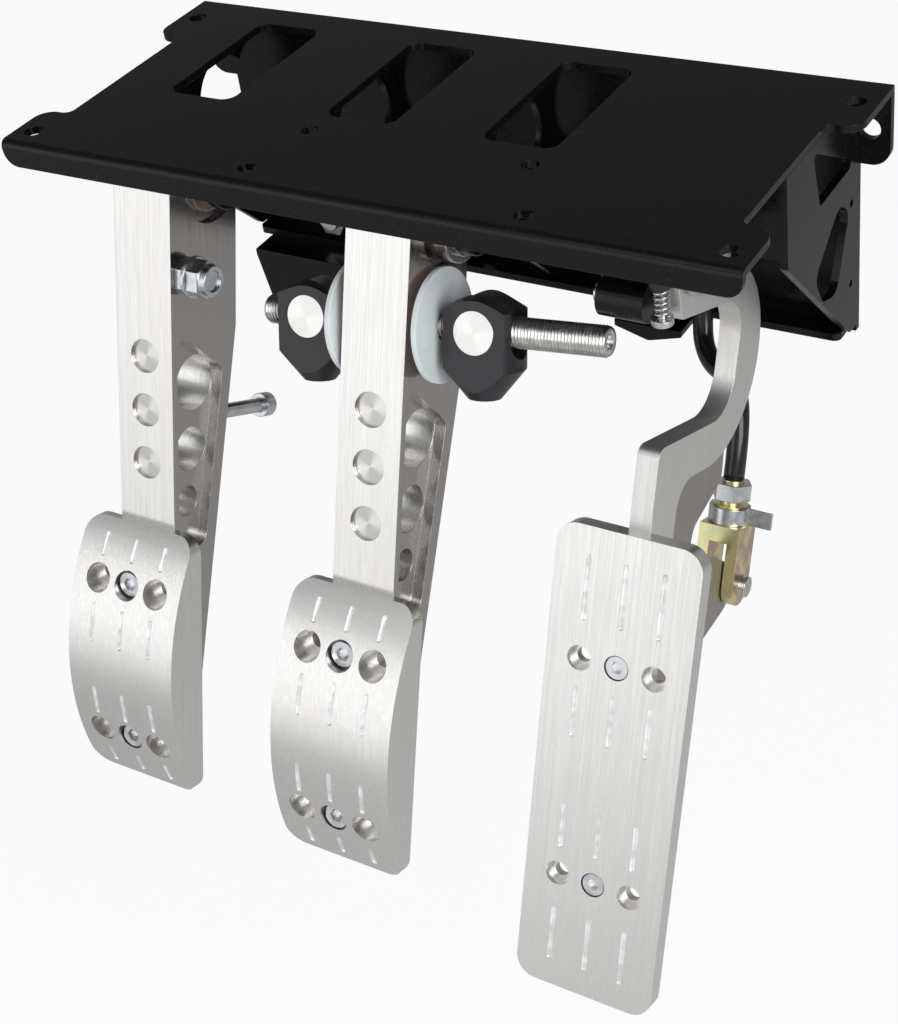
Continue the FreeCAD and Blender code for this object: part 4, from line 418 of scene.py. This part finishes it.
def metal_finish(name, colour, turn, rough, contrast, depth, marks_share=0.25):
    """Bright metal with fine lines along one direction."""
    finish = Finish(name, turn)
    lines = finish.group("brushed_lines")
    marks = finish.group("handling_marks")
    tone = finish.blend(scaled(colour, 1.0 - contrast), scaled(colour, 1.04), lines.outputs["Lines"])
    tone = finish.blend(tone, scaled(colour, 0.9),
                        maths(finish.tree, "MULTIPLY", lines.outputs["Tone"], 0.35))
    colour_out = finish.blend(tone, scaled(colour, 0.8),
                              maths(finish.tree, "MULTIPLY", marks.outputs["Marks"], marks_share))
    finish.feed("Base Color", colour_out)
    value = maths(finish.tree, "ADD", finish.spread(lines.outputs["Lines"], rough + 0.07, rough - 0.05),
                  finish.spread(lines.outputs["Tone"], -0.05, 0.05))
    finish.feed("Roughness", value)
    finish.shader.inputs["Metallic"].default_value = 1.0
    finish.bump(lines.outputs["Lines"], 0.25, depth)
    return finish.material


def ringed_finish(name, colour, axis, centre, painted_glint, step=1.0):
    """Bright metal turned round an axis through a point: fine rings, and a painted radial highlight between two
    shares of the colour.
    """
    align = Vector(axis).rotation_difference(Vector((0, 0, 1)))
    finish = Finish(name, tuple(align.to_euler()), tuple(-(align @ Vector(centre))))
    rings = finish.group("turned_rings", {"Pitch": 0.00055, "Step": step})
    # The painted highlight: the colour runs between the two given shares of itself round the axis.
    tone = finish.blend(scaled(colour, painted_glint[0]), scaled(colour, painted_glint[1]), rings.outputs["Glint"])
    ringed = finish.blend(scaled(colour, 0.7), tone, finish.spread(rings.outputs["Rings"], 0.7, 1.0))
    finish.feed("Base Color", ringed)
    finish.feed("Roughness", finish.spread(rings.outputs["Rings"], 0.36, 0.26))
    finish.shader.inputs["Metallic"].default_value = 1.0
    finish.bump(rings.outputs["Rings"], 0.4, 0.00002)
    return finish.material


def passivated_finish(name, first, second):
    """Passivated zinc: one colour that shifts to another in soft patches."""
    finish = Finish(name)
    cloud = stretched_noise(finish.tree, finish.vector, (150.0, 150.0, 110.0), 2.0)
    finish.feed("Base Color", finish.blend(first, second, ramp(finish.tree, cloud, 0.42, 0.68)))
    finish.feed("Roughness", finish.spread(cloud, 0.22, 0.36))
    finish.shader.inputs["Metallic"].default_value = 1.0
    return finish.material


def plated_finish(name, colour, rough, strength=0.15):
    """Plated steel: bright, a little cloudy, with small specks."""
    finish = Finish(name)
    texture = finish.group("fine_texture", {"Scale": 700.0})
    cloud = stretched_noise(finish.tree, finish.vector, (260.0, 260.0, 260.0), 3.0)
    share = ramp(finish.tree, cloud, 0.35, 0.65)
    colour_out = finish.blend(scaled(colour, 0.86), scaled(colour, 1.08), share)
    finish.feed("Base Color", colour_out)
    finish.feed("Roughness", finish.spread(cloud, rough - 0.08, rough + 0.12))
    finish.shader.inputs["Metallic"].default_value = 1.0
    finish.bump(texture.outputs["Height"], strength, 0.00005)
    return finish.material


def dull_finish(name, colour, rough, scale, strength, sheen=1.25):
    """Anodising, nylon or a cable's sheath: even, with a soft fine texture."""
    finish = Finish(name)
    texture = finish.group("fine_texture", {"Scale": scale})
    cloud = stretched_noise(finish.tree, finish.vector, (120.0, 120.0, 120.0), 2.0)
    colour_out = finish.blend(scaled(colour, 0.85), scaled(colour, sheen), cloud)
    finish.feed("Base Color", colour_out)
    finish.feed("Roughness", finish.spread(texture.outputs["Height"], rough - 0.05, rough + 0.06))
    finish.bump(texture.outputs["Height"], strength, 0.00006)
    return finish.material


def material(name):
    """A finish by its name, built the first time it is asked for."""
    if name in MATERIALS:
        return MATERIALS[name]
    colours = bpy.context.scene.pedal_box_colours
    kind, pedal = (name.split("_") + [""])[:2]
    if kind in ("arm", "side"):
        rough = {"arm": 0.27, "side": 0.17}[kind] + 0.15 * (pedal == "throttle")
        # For side faces, the darker side colour is painted shade on the clutch and brake arms' sideways faces.
        made = metal_finish(f"milled_{kind}_{pedal}", tuple(getattr(colours, kind)),
                            (math.radians(LEAN[pedal]), 0.0, 0.0), rough, 0.08, 0.000012)
    elif kind == "pad":
        made = metal_finish("brushed_aluminium_" + pedal, tuple(colours.pad),
                            (math.radians(LEAN[pedal]), 0.0, 0.0), 0.30, 0.07, 0.00001, 0.06)
    elif kind == "dimple":
        outward, along = pedal_directions(pedal)
        first = PIVOT + along * DIMPLE_DROP * MM + outward * ARM_FRONT * MM
        # The dimples run from 0.62 to 0.95 of the arm's colour: painted shade in the hollows and a painted
        # highlight.
        made = ringed_finish("turned_dimples_" + pedal, tuple(colours.arm), outward,
                             (MIDDLE[pedal] * MM, first.y, first.z), (0.62, 0.95), DIMPLE_STEP * MM)
    elif kind == "trunnion":
        joint = JOINTS[pedal + "_clevis_hinge"]
        # The trunnions' end faces get a faint painted highlight round their axis.
        made = ringed_finish("turned_trunnion_" + pedal, tuple(colours.arm), joint["axis"], joint["pos_m"],
                             (0.95, 1.06))
    elif name == "ear":
        # The thin rear ear's sides get this darker colour.
        made = metal_finish("dull_aluminium", tuple(colours.ear),
                            (math.radians(LEAN["throttle"]), 0.0, 0.0), 0.4, 0.05, 0.00001, 0.1)
    elif name == "cut":
        made = plated_finish("bright_cut", (0.97, 0.965, 0.955), 0.55, 0.02)
    elif name == "thread":
        made = plated_finish("rolled_thread", tuple(colours.turned), 0.28, 0.02)
    elif name == "paint":
        made = painted_finish(colours)
    elif name == "turned":
        made = metal_finish("turned_steel", tuple(colours.turned), (0.0, math.radians(90), 0.0), 0.25, 0.12,
                            0.00001)
    elif name == "zinc":
        made = plated_finish("zinc_plate", tuple(colours.zinc), 0.26)
    elif name == "yellow":
        made = passivated_finish("yellow_passivated", tuple(colours.yellow), (0.72, 0.74, 0.42))
    elif name == "mauve":
        made = passivated_finish("yellow_passivated_side", tuple(colours.yellow_side), tuple(colours.yellow))
    elif name == "bronze":
        made = plated_finish("bearing_bronze", tuple(colours.bronze), 0.33)
    elif name == "anodised":
        made = dull_finish("black_anodised", tuple(colours.anodised), 0.34, 1600.0, 0.2)
    elif name == "nylon":
        made = dull_finish("white_nylon", tuple(colours.nylon), 0.42, 700.0, 0.12, 1.05)
        made.node_tree.nodes["Principled BSDF"].inputs["Subsurface Weight"].default_value = 0.15
    else:
        made = dull_finish("cable_sheath", tuple(colours.sheath), 0.2, 900.0, 0.1)
    MATERIALS[name] = made
    return made


# Making pieces


def pedal_directions(pedal):
    """The way a pedal's front faces, and the way down along it."""
    lean = math.radians(LEAN[pedal])
    return Vector((0.0, -math.cos(lean), math.sin(lean))), Vector((0.0, -math.sin(lean), -math.cos(lean)))


def place_piece(name, mesh, finish, replaced, others=(), choose=None):
    """Put a mesh in place of its CAD nodes, riding on their body; chosen faces get other finishes."""
    piece = bpy.data.objects.new(name, mesh)
    bpy.context.scene.collection.objects.link(piece)
    mesh.materials.clear()
    mesh.materials.append(material(finish))
    for other in others:
        mesh.materials.append(material(other))
    for face in mesh.polygons:
        face.material_index = choose(face.center, face.normal) if choose else 0
    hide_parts(*replaced)
    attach(piece, BODY_OF[replaced[0]])


def finished(item):
    """The plain mesh of an object with its modifiers on."""
    graph = bpy.context.evaluated_depsgraph_get()
    mesh = bpy.data.meshes.new_from_object(item.evaluated_get(graph), depsgraph=graph)
    old = item.data
    bpy.data.objects.remove(item)
    if old.users == 0:
        bpy.data.meshes.remove(old)
    return mesh


def merge_points(mesh, distance=1e-6, outwards=True):
    """Merge a mesh's doubled points, and turn its faces outwards unless they already are."""
    edit = bmesh.new()
    edit.from_mesh(mesh)
    bmesh.ops.remove_doubles(edit, verts=edit.verts, dist=distance)
    if outwards:
        bmesh.ops.recalc_face_normals(edit, faces=edit.faces)
    edit.to_mesh(mesh)
    edit.free()


def eased_mesh(node, width, segments=2):
    """A copy of a CAD node with its sharp edges rounded over."""
    mesh = FRAME["nodes"][node].data.copy()
    edit = bmesh.new()
    edit.from_mesh(mesh)
    bmesh.ops.remove_doubles(edit, verts=edit.verts, dist=1e-6)
    bmesh.ops.dissolve_limit(edit, angle_limit=math.radians(0.3), verts=edit.verts, edges=edit.edges)
    edit.to_mesh(mesh)
    edit.free()
    mesh.shade_smooth()
    work = bpy.data.objects.new(node + "_work", mesh)
    bpy.context.scene.collection.objects.link(work)
    bevel = work.modifiers.new("edges", "BEVEL")
    bevel.width = width
    bevel.segments = segments
    bevel.limit_method = "ANGLE"
    bevel.angle_limit = math.radians(32.0)
    bevel.use_clamp_overlap = True
    bevel.miter_outer = "MITER_ARC"
    smooth = work.modifiers.new("shading", "WEIGHTED_NORMAL")
    smooth.keep_sharp = True
    smooth.weight = 60
    bpy.context.view_layer.update()
    made = finished(work)
    made.name = node + "_eased"
    return made


def ease(nodes, width, finish, segments=2):
    """Round over the edges of several CAD nodes and give them a finish."""
    for node in nodes:
        place_piece(node + "_finished", eased_mesh(node, width, segments), finish, [node])


def grid_mesh(name, rings):
    """A tube through rings of points, its ends filled."""
    edit = bmesh.new()
    made = [[edit.verts.new(point) for point in ring] for ring in rings]
    for first, second in zip(made, made[1:]):
        count = len(first)
        for number in range(count):
            after = (number + 1) % count
            edit.faces.new((first[number], first[after], second[after], second[number]))
    edit.faces.new(list(reversed(made[0])))
    edit.faces.new(made[-1])
    bmesh.ops.recalc_face_normals(edit, faces=edit.faces)
    for face in edit.faces:
        face.smooth = len(face.verts) == 4
    mesh = bpy.data.meshes.new(name)
    edit.to_mesh(mesh)
    edit.free()
    return mesh


def bar_matrix():
    """Where the balance bar's bearing is, and the way the bar points."""
    joint = JOINTS["bar_spin"]
    along = Vector(joint["axis"]).normalized()
    across = Vector((0, 0, 1)).cross(along).normalized()
    up = along.cross(across)
    turn = Matrix((along, across, up)).transposed().to_4x4()
    return Matrix.Translation(Vector(joint["pos_m"])) @ turn


def thread_rings(start, end, radius, pitch, depth):
    """Rings of a screw thread along X, its ends tapered off and its end faces flat."""
    rings = []
    per_turn = 8
    taper = pitch * 0.8
    count = round((end - start) / pitch * per_turn)
    for step in range(count + 1):
        x = start + (end - start) * step / count
        inset = max(0.0, 1.0 - min(x - start, end - x) / taper)
        ring = []
        for number in range(BAR_SIDES):
            share = number / BAR_SIDES
            wave = abs(((x / pitch - share) % 1.0) * 2.0 - 1.0)
            height = min(1.0, max(0.0, (wave - 0.12) / 0.76))
            reach = radius - depth * (1.0 - height)
            reach = min(reach, radius - depth * 1.1 * inset)
            angle = share * 2 * math.pi
            ring.append((x, reach * math.cos(angle), reach * math.sin(angle)))
        rings.append(ring)
    return rings


def plain_ring(x, radius):
    """One plain ring of points round X."""
    angles = [2 * math.pi * number / BAR_SIDES for number in range(BAR_SIDES)]
    return [(x, radius * math.cos(angle), radius * math.sin(angle)) for angle in angles]


class PEDALBOX_OT_plates(bpy.types.Operator):
    """Finish the folded frame: soft edges and gloss black powder coat"""

    bl_idname = "pedal_box.plates"
    bl_label = "Folded frame"

    def execute(self, context):
        ease(PLATES, context.scene.pedal_box_sizes.plate_edge, "paint", 3)
        return {"FINISHED"}


class PEDALBOX_OT_arms(bpy.types.Operator):
    """Finish the three pedal arms in milled aluminium"""

    bl_idname = "pedal_box.arms"
    bl_label = "Pedal arms"

    def execute(self, context):
        edge = context.scene.pedal_box_sizes.arm_edge
        for node in ("clutch_arm", "brake_arm"):
            pedal = node.split("_")[0]
            outward = pedal_directions(pedal)[0]
            middle = MIDDLE[pedal] * MM

            def milled(centre, normal):
                """Which finish a face gets: plain milling, a dimple's rings with painted shade and a painted
                highlight, or the sides' darker colour, which is painted shade.
                """
                # Faces that look sideways get the darker side colour: painted shade.
                if abs(normal.x) > 0.9:
                    return 2
                depth = (centre - PIVOT).dot(outward)
                return int(abs(depth - (ARM_FRONT - DIMPLE_DEPTH) * MM) < 0.3 * MM
                           and normal.dot(outward) > 0.9 and abs(centre.x - middle) < DIMPLE_REACH * MM)

            place_piece(node + "_finished", eased_mesh(node, edge), "arm_" + pedal, [node],
                        ("dimple_" + pedal, "side_" + pedal), milled)

        def on_ear(centre, normal):
            """Whether a face is a side of the thin rear ear."""
            return int(abs(normal.x) > 0.9 and abs(centre.x - MIDDLE["throttle"] * MM) < EAR_REACH * MM)

        place_piece("throttle_arm_finished", eased_mesh("throttle_arm", edge), "arm_throttle",
                    ["throttle_arm"], ("ear",), on_ear)
        return {"FINISHED"}


class PEDALBOX_OT_pads(bpy.types.Operator):
    """Finish the three pads in brushed aluminium"""

    bl_idname = "pedal_box.pads"
    bl_label = "Pads"

    def execute(self, context):
        for node in PADS:
            pedal = node.split("_")[0]
            outward, along = pedal_directions(pedal)

            def cut(centre, normal):
                """Whether a face lies just below the pad's front face, as in a groove."""
                ahead = (centre - PIVOT).dot(outward) / MM
                down = (centre - PIVOT).dot(along) / MM
                if pedal == "throttle":
                    depth = PAD_FLAT - ahead
                else:
                    depth = PAD_ARC - math.hypot(ahead - DOME_BACK, down - DOME_DROP)
                return int(GROOVE_DEPTHS[0] < depth < GROOVE_DEPTHS[1])

            mesh = eased_mesh(node, context.scene.pedal_box_sizes.arm_edge)
            place_piece(node + "_finished", mesh, "pad_" + pedal, [node], ("cut",), cut)
        return {"FINISHED"}


def knurled_screws_tree():
    """Socket screws at points: a knurled head with a hexagonal socket, and a shank behind it."""
    tree = bpy.data.node_groups.new("knurled_screws", "GeometryNodeTree")
    face = tree.interface
    face.new_socket("Geometry", in_out="OUTPUT", socket_type="NodeSocketGeometry")
    for label, kind in (("Places", "NodeSocketGeometry"), ("Turn", "NodeSocketRotation"),
                        ("Head Radius", "NodeSocketFloat"), ("Head Height", "NodeSocketFloat"),
                        ("Socket Radius", "NodeSocketFloat"), ("Ridge Radius", "NodeSocketFloat"),
                        ("Ridges", "NodeSocketInt"), ("Shank Radius", "NodeSocketFloat"),
                        ("Shank Length", "NodeSocketFloat"), ("Finish", "NodeSocketMaterial")):
        face.new_socket(label, in_out="INPUT", socket_type=kind)
    source = tree.nodes.new("NodeGroupInput")
    result = tree.nodes.new("NodeGroupOutput")
    link = tree.links.new

    def cylinder(sides, radius, depth):
        """A cylinder or prism whose size comes from sockets."""
        made = add_node(tree, "GeometryNodeMeshCylinder", {"Vertices": sides})
        link(radius, made.inputs["Radius"])
        link(depth, made.inputs["Depth"])
        return made.outputs["Mesh"]

    def shifted(mesh, height):
        """A mesh moved along Z."""
        combine = tree.nodes.new("ShaderNodeCombineXYZ")
        link(height, combine.inputs["Z"])
        made = tree.nodes.new("GeometryNodeTransform")
        link(mesh, made.inputs["Geometry"])
        link(combine.outputs[0], made.inputs["Translation"])
        return made.outputs[0]

    height = source.outputs["Head Height"]
    half = maths(tree, "MULTIPLY", height, 0.5)
    head = shifted(cylinder(64, source.outputs["Head Radius"], height), half)
    key = cylinder(6, source.outputs["Socket Radius"], height)
    hollow = add_node(tree, "GeometryNodeMeshBoolean", operation="DIFFERENCE", solver="EXACT")
    link(head, hollow.inputs["Mesh 1"])
    link(key, hollow.inputs["Mesh 2"])
    circle = add_node(tree, "GeometryNodeMeshCircle")
    link(source.outputs["Ridges"], circle.inputs["Vertices"])
    link(source.outputs["Head Radius"], circle.inputs["Radius"])
    tall = maths(tree, "MULTIPLY", height, 0.8)
    ridge = shifted(cylinder(4, source.outputs["Ridge Radius"], tall), half)
    knurl = tree.nodes.new("GeometryNodeInstanceOnPoints")
    link(circle.outputs["Mesh"], knurl.inputs["Points"])
    link(ridge, knurl.inputs["Instance"])
    length = source.outputs["Shank Length"]
    shank = shifted(cylinder(24, source.outputs["Shank Radius"], length),
                    maths(tree, "ADD", height, maths(tree, "MULTIPLY", length, 0.5)))
    whole = tree.nodes.new("GeometryNodeJoinGeometry")
    for item in (hollow.outputs["Mesh"], knurl.outputs["Instances"], shank):
        link(item, whole.inputs[0])
    spread = tree.nodes.new("GeometryNodeInstanceOnPoints")
    link(source.outputs["Places"], spread.inputs["Points"])
    link(whole.outputs[0], spread.inputs["Instance"])
    link(source.outputs["Turn"], spread.inputs["Rotation"])
    real = tree.nodes.new("GeometryNodeRealizeInstances")
    link(spread.outputs["Instances"], real.inputs[0])
    paint = tree.nodes.new("GeometryNodeSetMaterial")
    link(real.outputs[0], paint.inputs["Geometry"])
    link(source.outputs["Finish"], paint.inputs["Material"])
    link(paint.outputs[0], result.inputs[0])
    return tree


def knurled_screws(tree, node, places, turn, values):
    """Run the screw tree at some places and put the result in place of a CAD node."""
    points = bpy.data.meshes.new(node + "_places")
    points.from_pydata(places, [], [])
    work = bpy.data.objects.new(node + "_work", points)
    bpy.context.scene.collection.objects.link(work)
    modifier = work.modifiers.new("screws", "NODES")
    modifier.node_group = tree
    sockets = {item.name: item.identifier for item in tree.interface.items_tree
               if item.item_type == "SOCKET" and item.in_out == "INPUT"}
    modifier[sockets["Turn"]] = turn
    modifier[sockets["Finish"]] = material("zinc")
    for label, value in values.items():
        modifier[sockets[label]] = value
    bpy.context.view_layer.update()
    mesh = finished(work)
    mesh.name = node + "_screws"
    merge_points(mesh, 1e-7)
    place_piece(node + "_finished", mesh, "zinc", [node])


def screw_points(node):
    """The CAD points of the lower and of the upper of a pad's two screws."""
    mesh = FRAME["nodes"][node].data
    middle = sum((Vector(vertex.co) for vertex in mesh.vertices), Vector()) / len(mesh.vertices)
    halves = ([], [])
    for vertex in mesh.vertices:
        halves[vertex.co.z > middle.z].append(Vector(vertex.co))
    return halves


class PEDALBOX_OT_pad_screws(bpy.types.Operator):
    """Make the knurled socket screws in the pads"""

    bl_idname = "pedal_box.pad_screws"
    bl_label = "Socket screws"

    def execute(self, context):
        tree = knurled_screws_tree()
        ridges = context.scene.pedal_box_sizes.knurl_count
        for pedal, (radius, height, shank, length) in SCREWS.items():
            node = pedal + "_pad_screws"
            lean = math.radians(LEAN[pedal])
            back = Vector((0.0, math.cos(lean), -math.sin(lean)))
            up = Vector((0.0, math.sin(lean), math.cos(lean)))
            places = []
            for points in screw_points(node):
                near = min(point.dot(back) for point in points)
                low = min(point.dot(up) for point in points)
                high = max(point.dot(up) for point in points)
                across = sum(point.x for point in points) / len(points)
                places.append(Vector((across, 0, 0)) + back * near + up * (low + high) / 2)
            knurled_screws(tree, node, places, (-math.radians(90) - lean, 0.0, 0.0), {
                "Head Radius": (radius - HEAD_GAP) * MM, "Head Height": height * MM,
                "Socket Radius": radius * SOCKET_SHARE * MM, "Ridge Radius": RIDGE_RADIUS * MM,
                "Ridges": ridges, "Shank Radius": shank * MM, "Shank Length": length * MM})
        return {"FINISHED"}


class PEDALBOX_OT_balance_bar(bpy.types.Operator):
    """Cut the balance bar's thread and finish its trunnions and discs and the black fittings"""

    bl_idname = "pedal_box.balance_bar"
    bl_label = "Balance bar"

    def execute(self, context):
        sizes = context.scene.pedal_box_sizes
        rings = thread_rings(-sizes.bar_left, sizes.bar_right, sizes.bar_radius, sizes.bar_pitch,
                             sizes.bar_depth)
        rings += [plain_ring(sizes.bar_right - inward * MM, radius * MM) for inward, radius in BAR_RECESS]
        mesh = grid_mesh("bias_bar_thread", rings)
        mesh.transform(bar_matrix())
        place_piece("bias_bar_finished", mesh, "thread", ["bias_bar"])
        for side in ("left", "right"):
            ease(("trunnion_" + side,), sizes.fitting_edge, "trunnion_" + side)
        ease(BLACK_FITTINGS, sizes.fitting_edge, "anodised", 3)
        ease(("bias_discs",), sizes.fitting_edge, "nylon", 3)
        return {"FINISHED"}


class PEDALBOX_OT_fixings(bpy.types.Operator):
    """Finish the bolts, nuts, washers, spacers, bushes and the stop's spring"""

    bl_idname = "pedal_box.fixings"
    bl_label = "Bolts, nuts and bushes"

    def execute(self, context):
        edge = context.scene.pedal_box_sizes.fitting_edge
        ease(TURNED, edge, "turned")
        ease(ZINC, edge, "zinc")
        ease(BUSHES, edge, "bronze")
        mesh = FRAME["nodes"]["throttle_stop_spring"].data.copy()
        merge_points(mesh, outwards=False)
        mesh.shade_smooth()
        place_piece("throttle_stop_spring_finished", mesh, "turned", ["throttle_stop_spring"])
        return {"FINISHED"}


def sheath_mesh(points, radius):
    """A round sheath along a smooth line that the points pull on, closed at both ends."""
    curve = bpy.data.curves.new("cable_line", "CURVE")
    curve.dimensions = "3D"
    curve.bevel_depth = radius
    curve.bevel_resolution = 6
    curve.use_fill_caps = True
    spline = curve.splines.new("NURBS")
    spline.points.add(len(points) - 1)
    for point, place in zip(spline.points, points):
        point.co = (*place, 1.0)
    spline.order_u = 3
    spline.use_endpoint_u = True
    spline.resolution_u = 14
    work = bpy.data.objects.new("cable_work", curve)
    bpy.context.scene.collection.objects.link(work)
    bpy.context.view_layer.update()
    mesh = bpy.data.meshes.new_from_object(work.evaluated_get(bpy.context.evaluated_depsgraph_get()))
    bpy.data.objects.remove(work)
    bpy.data.curves.remove(curve)
    merge_points(mesh)
    for face in mesh.polygons:
        face.use_smooth = len(face.vertices) == 4
    return mesh


class PEDALBOX_OT_cable(bpy.types.Operator):
    """Make the throttle cable, which bends between the frame and the throttle pedal"""

    bl_idname = "pedal_box.cable"
    bl_label = "Throttle cable"

    def execute(self, context):
        line = [Vector(point) * MM for point in CABLE_LINE]
        mesh = sheath_mesh(line, context.scene.pedal_box_sizes.cable_radius)
        piece = bpy.data.objects.new("throttle_cable_finished", mesh)
        context.scene.collection.objects.link(piece)
        mesh.materials.clear()
        mesh.materials.append(material("sheath"))
        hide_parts("throttle_cable")
        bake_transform(piece)
        return {"FINISHED"}


class PEDALBOX_OT_cable_end(bpy.types.Operator):
    """Finish the yellow fork at the end of the throttle cable"""

    bl_idname = "pedal_box.cable_end"
    bl_label = "Cable end"

    def execute(self, context):
        mesh = eased_mesh("throttle_clevis", context.scene.pedal_box_sizes.fitting_edge, 3)
        place_piece("throttle_clevis_finished", mesh, "yellow", ["throttle_clevis"], ("mauve",),
                    lambda centre, normal: int(normal.x > 0.8))
        return {"FINISHED"}


def area_lamp(name, place, target, size, power):
    """A soft square lamp that faces a point."""
    data = bpy.data.lights.new(name, "AREA")
    data.shape = "SQUARE"
    data.size = size
    data.energy = power
    lamp = bpy.data.objects.new(name, data)
    lamp.location = place
    lamp.rotation_mode = "QUATERNION"
    lamp.rotation_quaternion = (Vector(target) - Vector(place)).to_track_quat("-Z", "Y")
    bpy.context.scene.collection.objects.link(lamp)


def white_share(tree, stage, camera_share):
    """How much white a ray sees: all of it or a share for the camera, a little for mirrors."""
    path = tree.nodes.new("ShaderNodeLightPath")
    mirrored = maths(tree, "MULTIPLY", maths(tree, "MAXIMUM", path.outputs["Is Glossy Ray"],
                                             path.outputs["Is Transmission Ray"]), stage.mirror_share)
    seen = maths(tree, "MULTIPLY", path.outputs["Is Camera Ray"], camera_share)
    return maths(tree, "MAXIMUM", seen, mirrored)


def studio_world(stage):
    """A pale world, brightest in front and darkest behind and overhead; the camera sees it white."""
    world = bpy.data.worlds.new("studio")
    world.use_nodes = True
    tree = world.node_tree
    tree.nodes.clear()
    out = tree.nodes.new("ShaderNodeOutputWorld")
    coordinates = tree.nodes.new("ShaderNodeTexCoord")
    split = tree.nodes.new("ShaderNodeSeparateXYZ")
    tree.links.new(coordinates.outputs["Generated"], split.inputs[0])
    front = add_node(tree, "ShaderNodeVectorMath", {1: FRONT_DIRECTION}, operation="DOT_PRODUCT")
    tree.links.new(coordinates.outputs["Generated"], front.inputs[0])
    ahead = maths(tree, "MULTIPLY", ramp(tree, front.outputs["Value"], 0.35, 0.85), FRONT_LEVEL)
    low = maths(tree, "MULTIPLY", ramp(tree, split.outputs["Z"], 0.35, 0.02), HORIZON_LEVEL)
    level = maths(tree, "MAXIMUM", maths(tree, "MAXIMUM", ahead, low), LOWEST_LEVEL)
    plain = tree.nodes.new("ShaderNodeBackground")
    tree.links.new(level, plain.inputs["Strength"])
    white = add_node(tree, "ShaderNodeBackground", {"Color": (1, 1, 1, 1), "Strength": 1.0})
    mix = tree.nodes.new("ShaderNodeMixShader")
    tree.links.new(white_share(tree, stage, 1.0), mix.inputs[0])
    tree.links.new(plain.outputs[0], mix.inputs[1])
    tree.links.new(white.outputs[0], mix.inputs[2])
    tree.links.new(mix.outputs[0], out.inputs["Surface"])
    bpy.context.scene.world = world


def floor_material(colour, stage):
    """A plain pale floor that looks white to the camera and keeps the object's shadow."""
    made = bpy.data.materials.new("studio_floor")
    made.use_nodes = True
    tree = made.node_tree
    shader = tree.nodes["Principled BSDF"]
    shader.inputs["Base Color"].default_value = (*colour, 1.0)
    shader.inputs["Roughness"].default_value = 0.9
    out = tree.nodes["Material Output"]
    glow = add_node(tree, "ShaderNodeEmission", {"Color": (1, 1, 1, 1), "Strength": 1.0})
    mix = tree.nodes.new("ShaderNodeMixShader")
    tree.links.new(white_share(tree, stage, FLOOR_WHITE), mix.inputs[0])
    tree.links.new(shader.outputs[0], mix.inputs[1])
    tree.links.new(glow.outputs[0], mix.inputs[2])
    tree.links.new(mix.outputs[0], out.inputs["Surface"])
    return made


class PEDALBOX_OT_stage(bpy.types.Operator):
    """Set up the floor, lamps, world and camera"""

    bl_idname = "pedal_box.stage"
    bl_label = "Studio"

    def execute(self, context):
        scene = context.scene
        stage = scene.pedal_box_stage
        mesh = bpy.data.meshes.new("studio_floor")
        corners = [(x * FLOOR_REACH, y * FLOOR_REACH, 0) for x, y in ((-1, -1), (1, -1), (1, 1), (-1, 1))]
        mesh.from_pydata(corners, [], [(0, 1, 2, 3)])
        mesh.transform(Matrix.Translation((0, 0, stage.floor_height)))
        mesh.materials.append(floor_material(tuple(scene.pedal_box_colours.floor), stage))
        floor = bpy.data.objects.new("studio_floor", mesh)
        scene.collection.objects.link(floor)
        studio_world(stage)
        for name, place, target, size in LAMPS:
            area_lamp(name, place, target, size, getattr(stage, name + "_power"))
        data = bpy.data.cameras.new("camera")
        data.lens = CAMERA_LENS
        data.shift_x, data.shift_y = CAMERA_SHIFT
        camera = bpy.data.objects.new("camera", data)
        turn = Matrix((CAMERA_RIGHT, CAMERA_UP, CAMERA_BACK)).transposed()
        camera.matrix_world = Matrix.Translation(CAMERA_PLACE) @ turn.to_4x4()
        scene.collection.objects.link(camera)
        scene.camera = camera
        scene.view_settings.view_transform = "Standard"
        return {"FINISHED"}


class PEDALBOX_PT_panel(bpy.types.Panel):
    """Lists the steps that build the pedal box"""

    bl_idname = "PEDALBOX_PT_panel"
    bl_label = "Pedal Box"
    bl_space_type = "VIEW_3D"
    bl_region_type = "UI"
    bl_category = "Pedal Box"

    def draw(self, context):
        for operator in STEPS:
            self.layout.operator(operator.bl_idname)
        for settings in (context.scene.pedal_box_colours, context.scene.pedal_box_sizes,
                         context.scene.pedal_box_stage):
            for name in settings.__annotations__:
                self.layout.prop(settings, name)


STEPS = (PEDALBOX_OT_plates, PEDALBOX_OT_arms, PEDALBOX_OT_pads, PEDALBOX_OT_pad_screws,
         PEDALBOX_OT_balance_bar, PEDALBOX_OT_fixings, PEDALBOX_OT_cable, PEDALBOX_OT_cable_end,
         PEDALBOX_OT_stage)
SETTINGS = (("pedal_box_colours", PedalBoxColours), ("pedal_box_sizes", PedalBoxSizes),
            ("pedal_box_stage", PedalBoxStage))


def register():
    for name, group in SETTINGS:
        bpy.utils.register_class(group)
        setattr(bpy.types.Scene, name, bpy.props.PointerProperty(type=group))
    for item in STEPS + (PEDALBOX_PT_panel,):
        bpy.utils.register_class(item)


def unregister():
    for item in reversed(STEPS + (PEDALBOX_PT_panel,)):
        bpy.utils.unregister_class(item)
    for name, group in reversed(SETTINGS):
        delattr(bpy.types.Scene, name)
        bpy.utils.unregister_class(group)


def main():
    """Build every piece and the stage."""
    register()
    for operator in STEPS:
        group, name = operator.bl_idname.split(".")
        getattr(getattr(bpy.ops, group), name)()


if __name__ == "__main__":
    main()
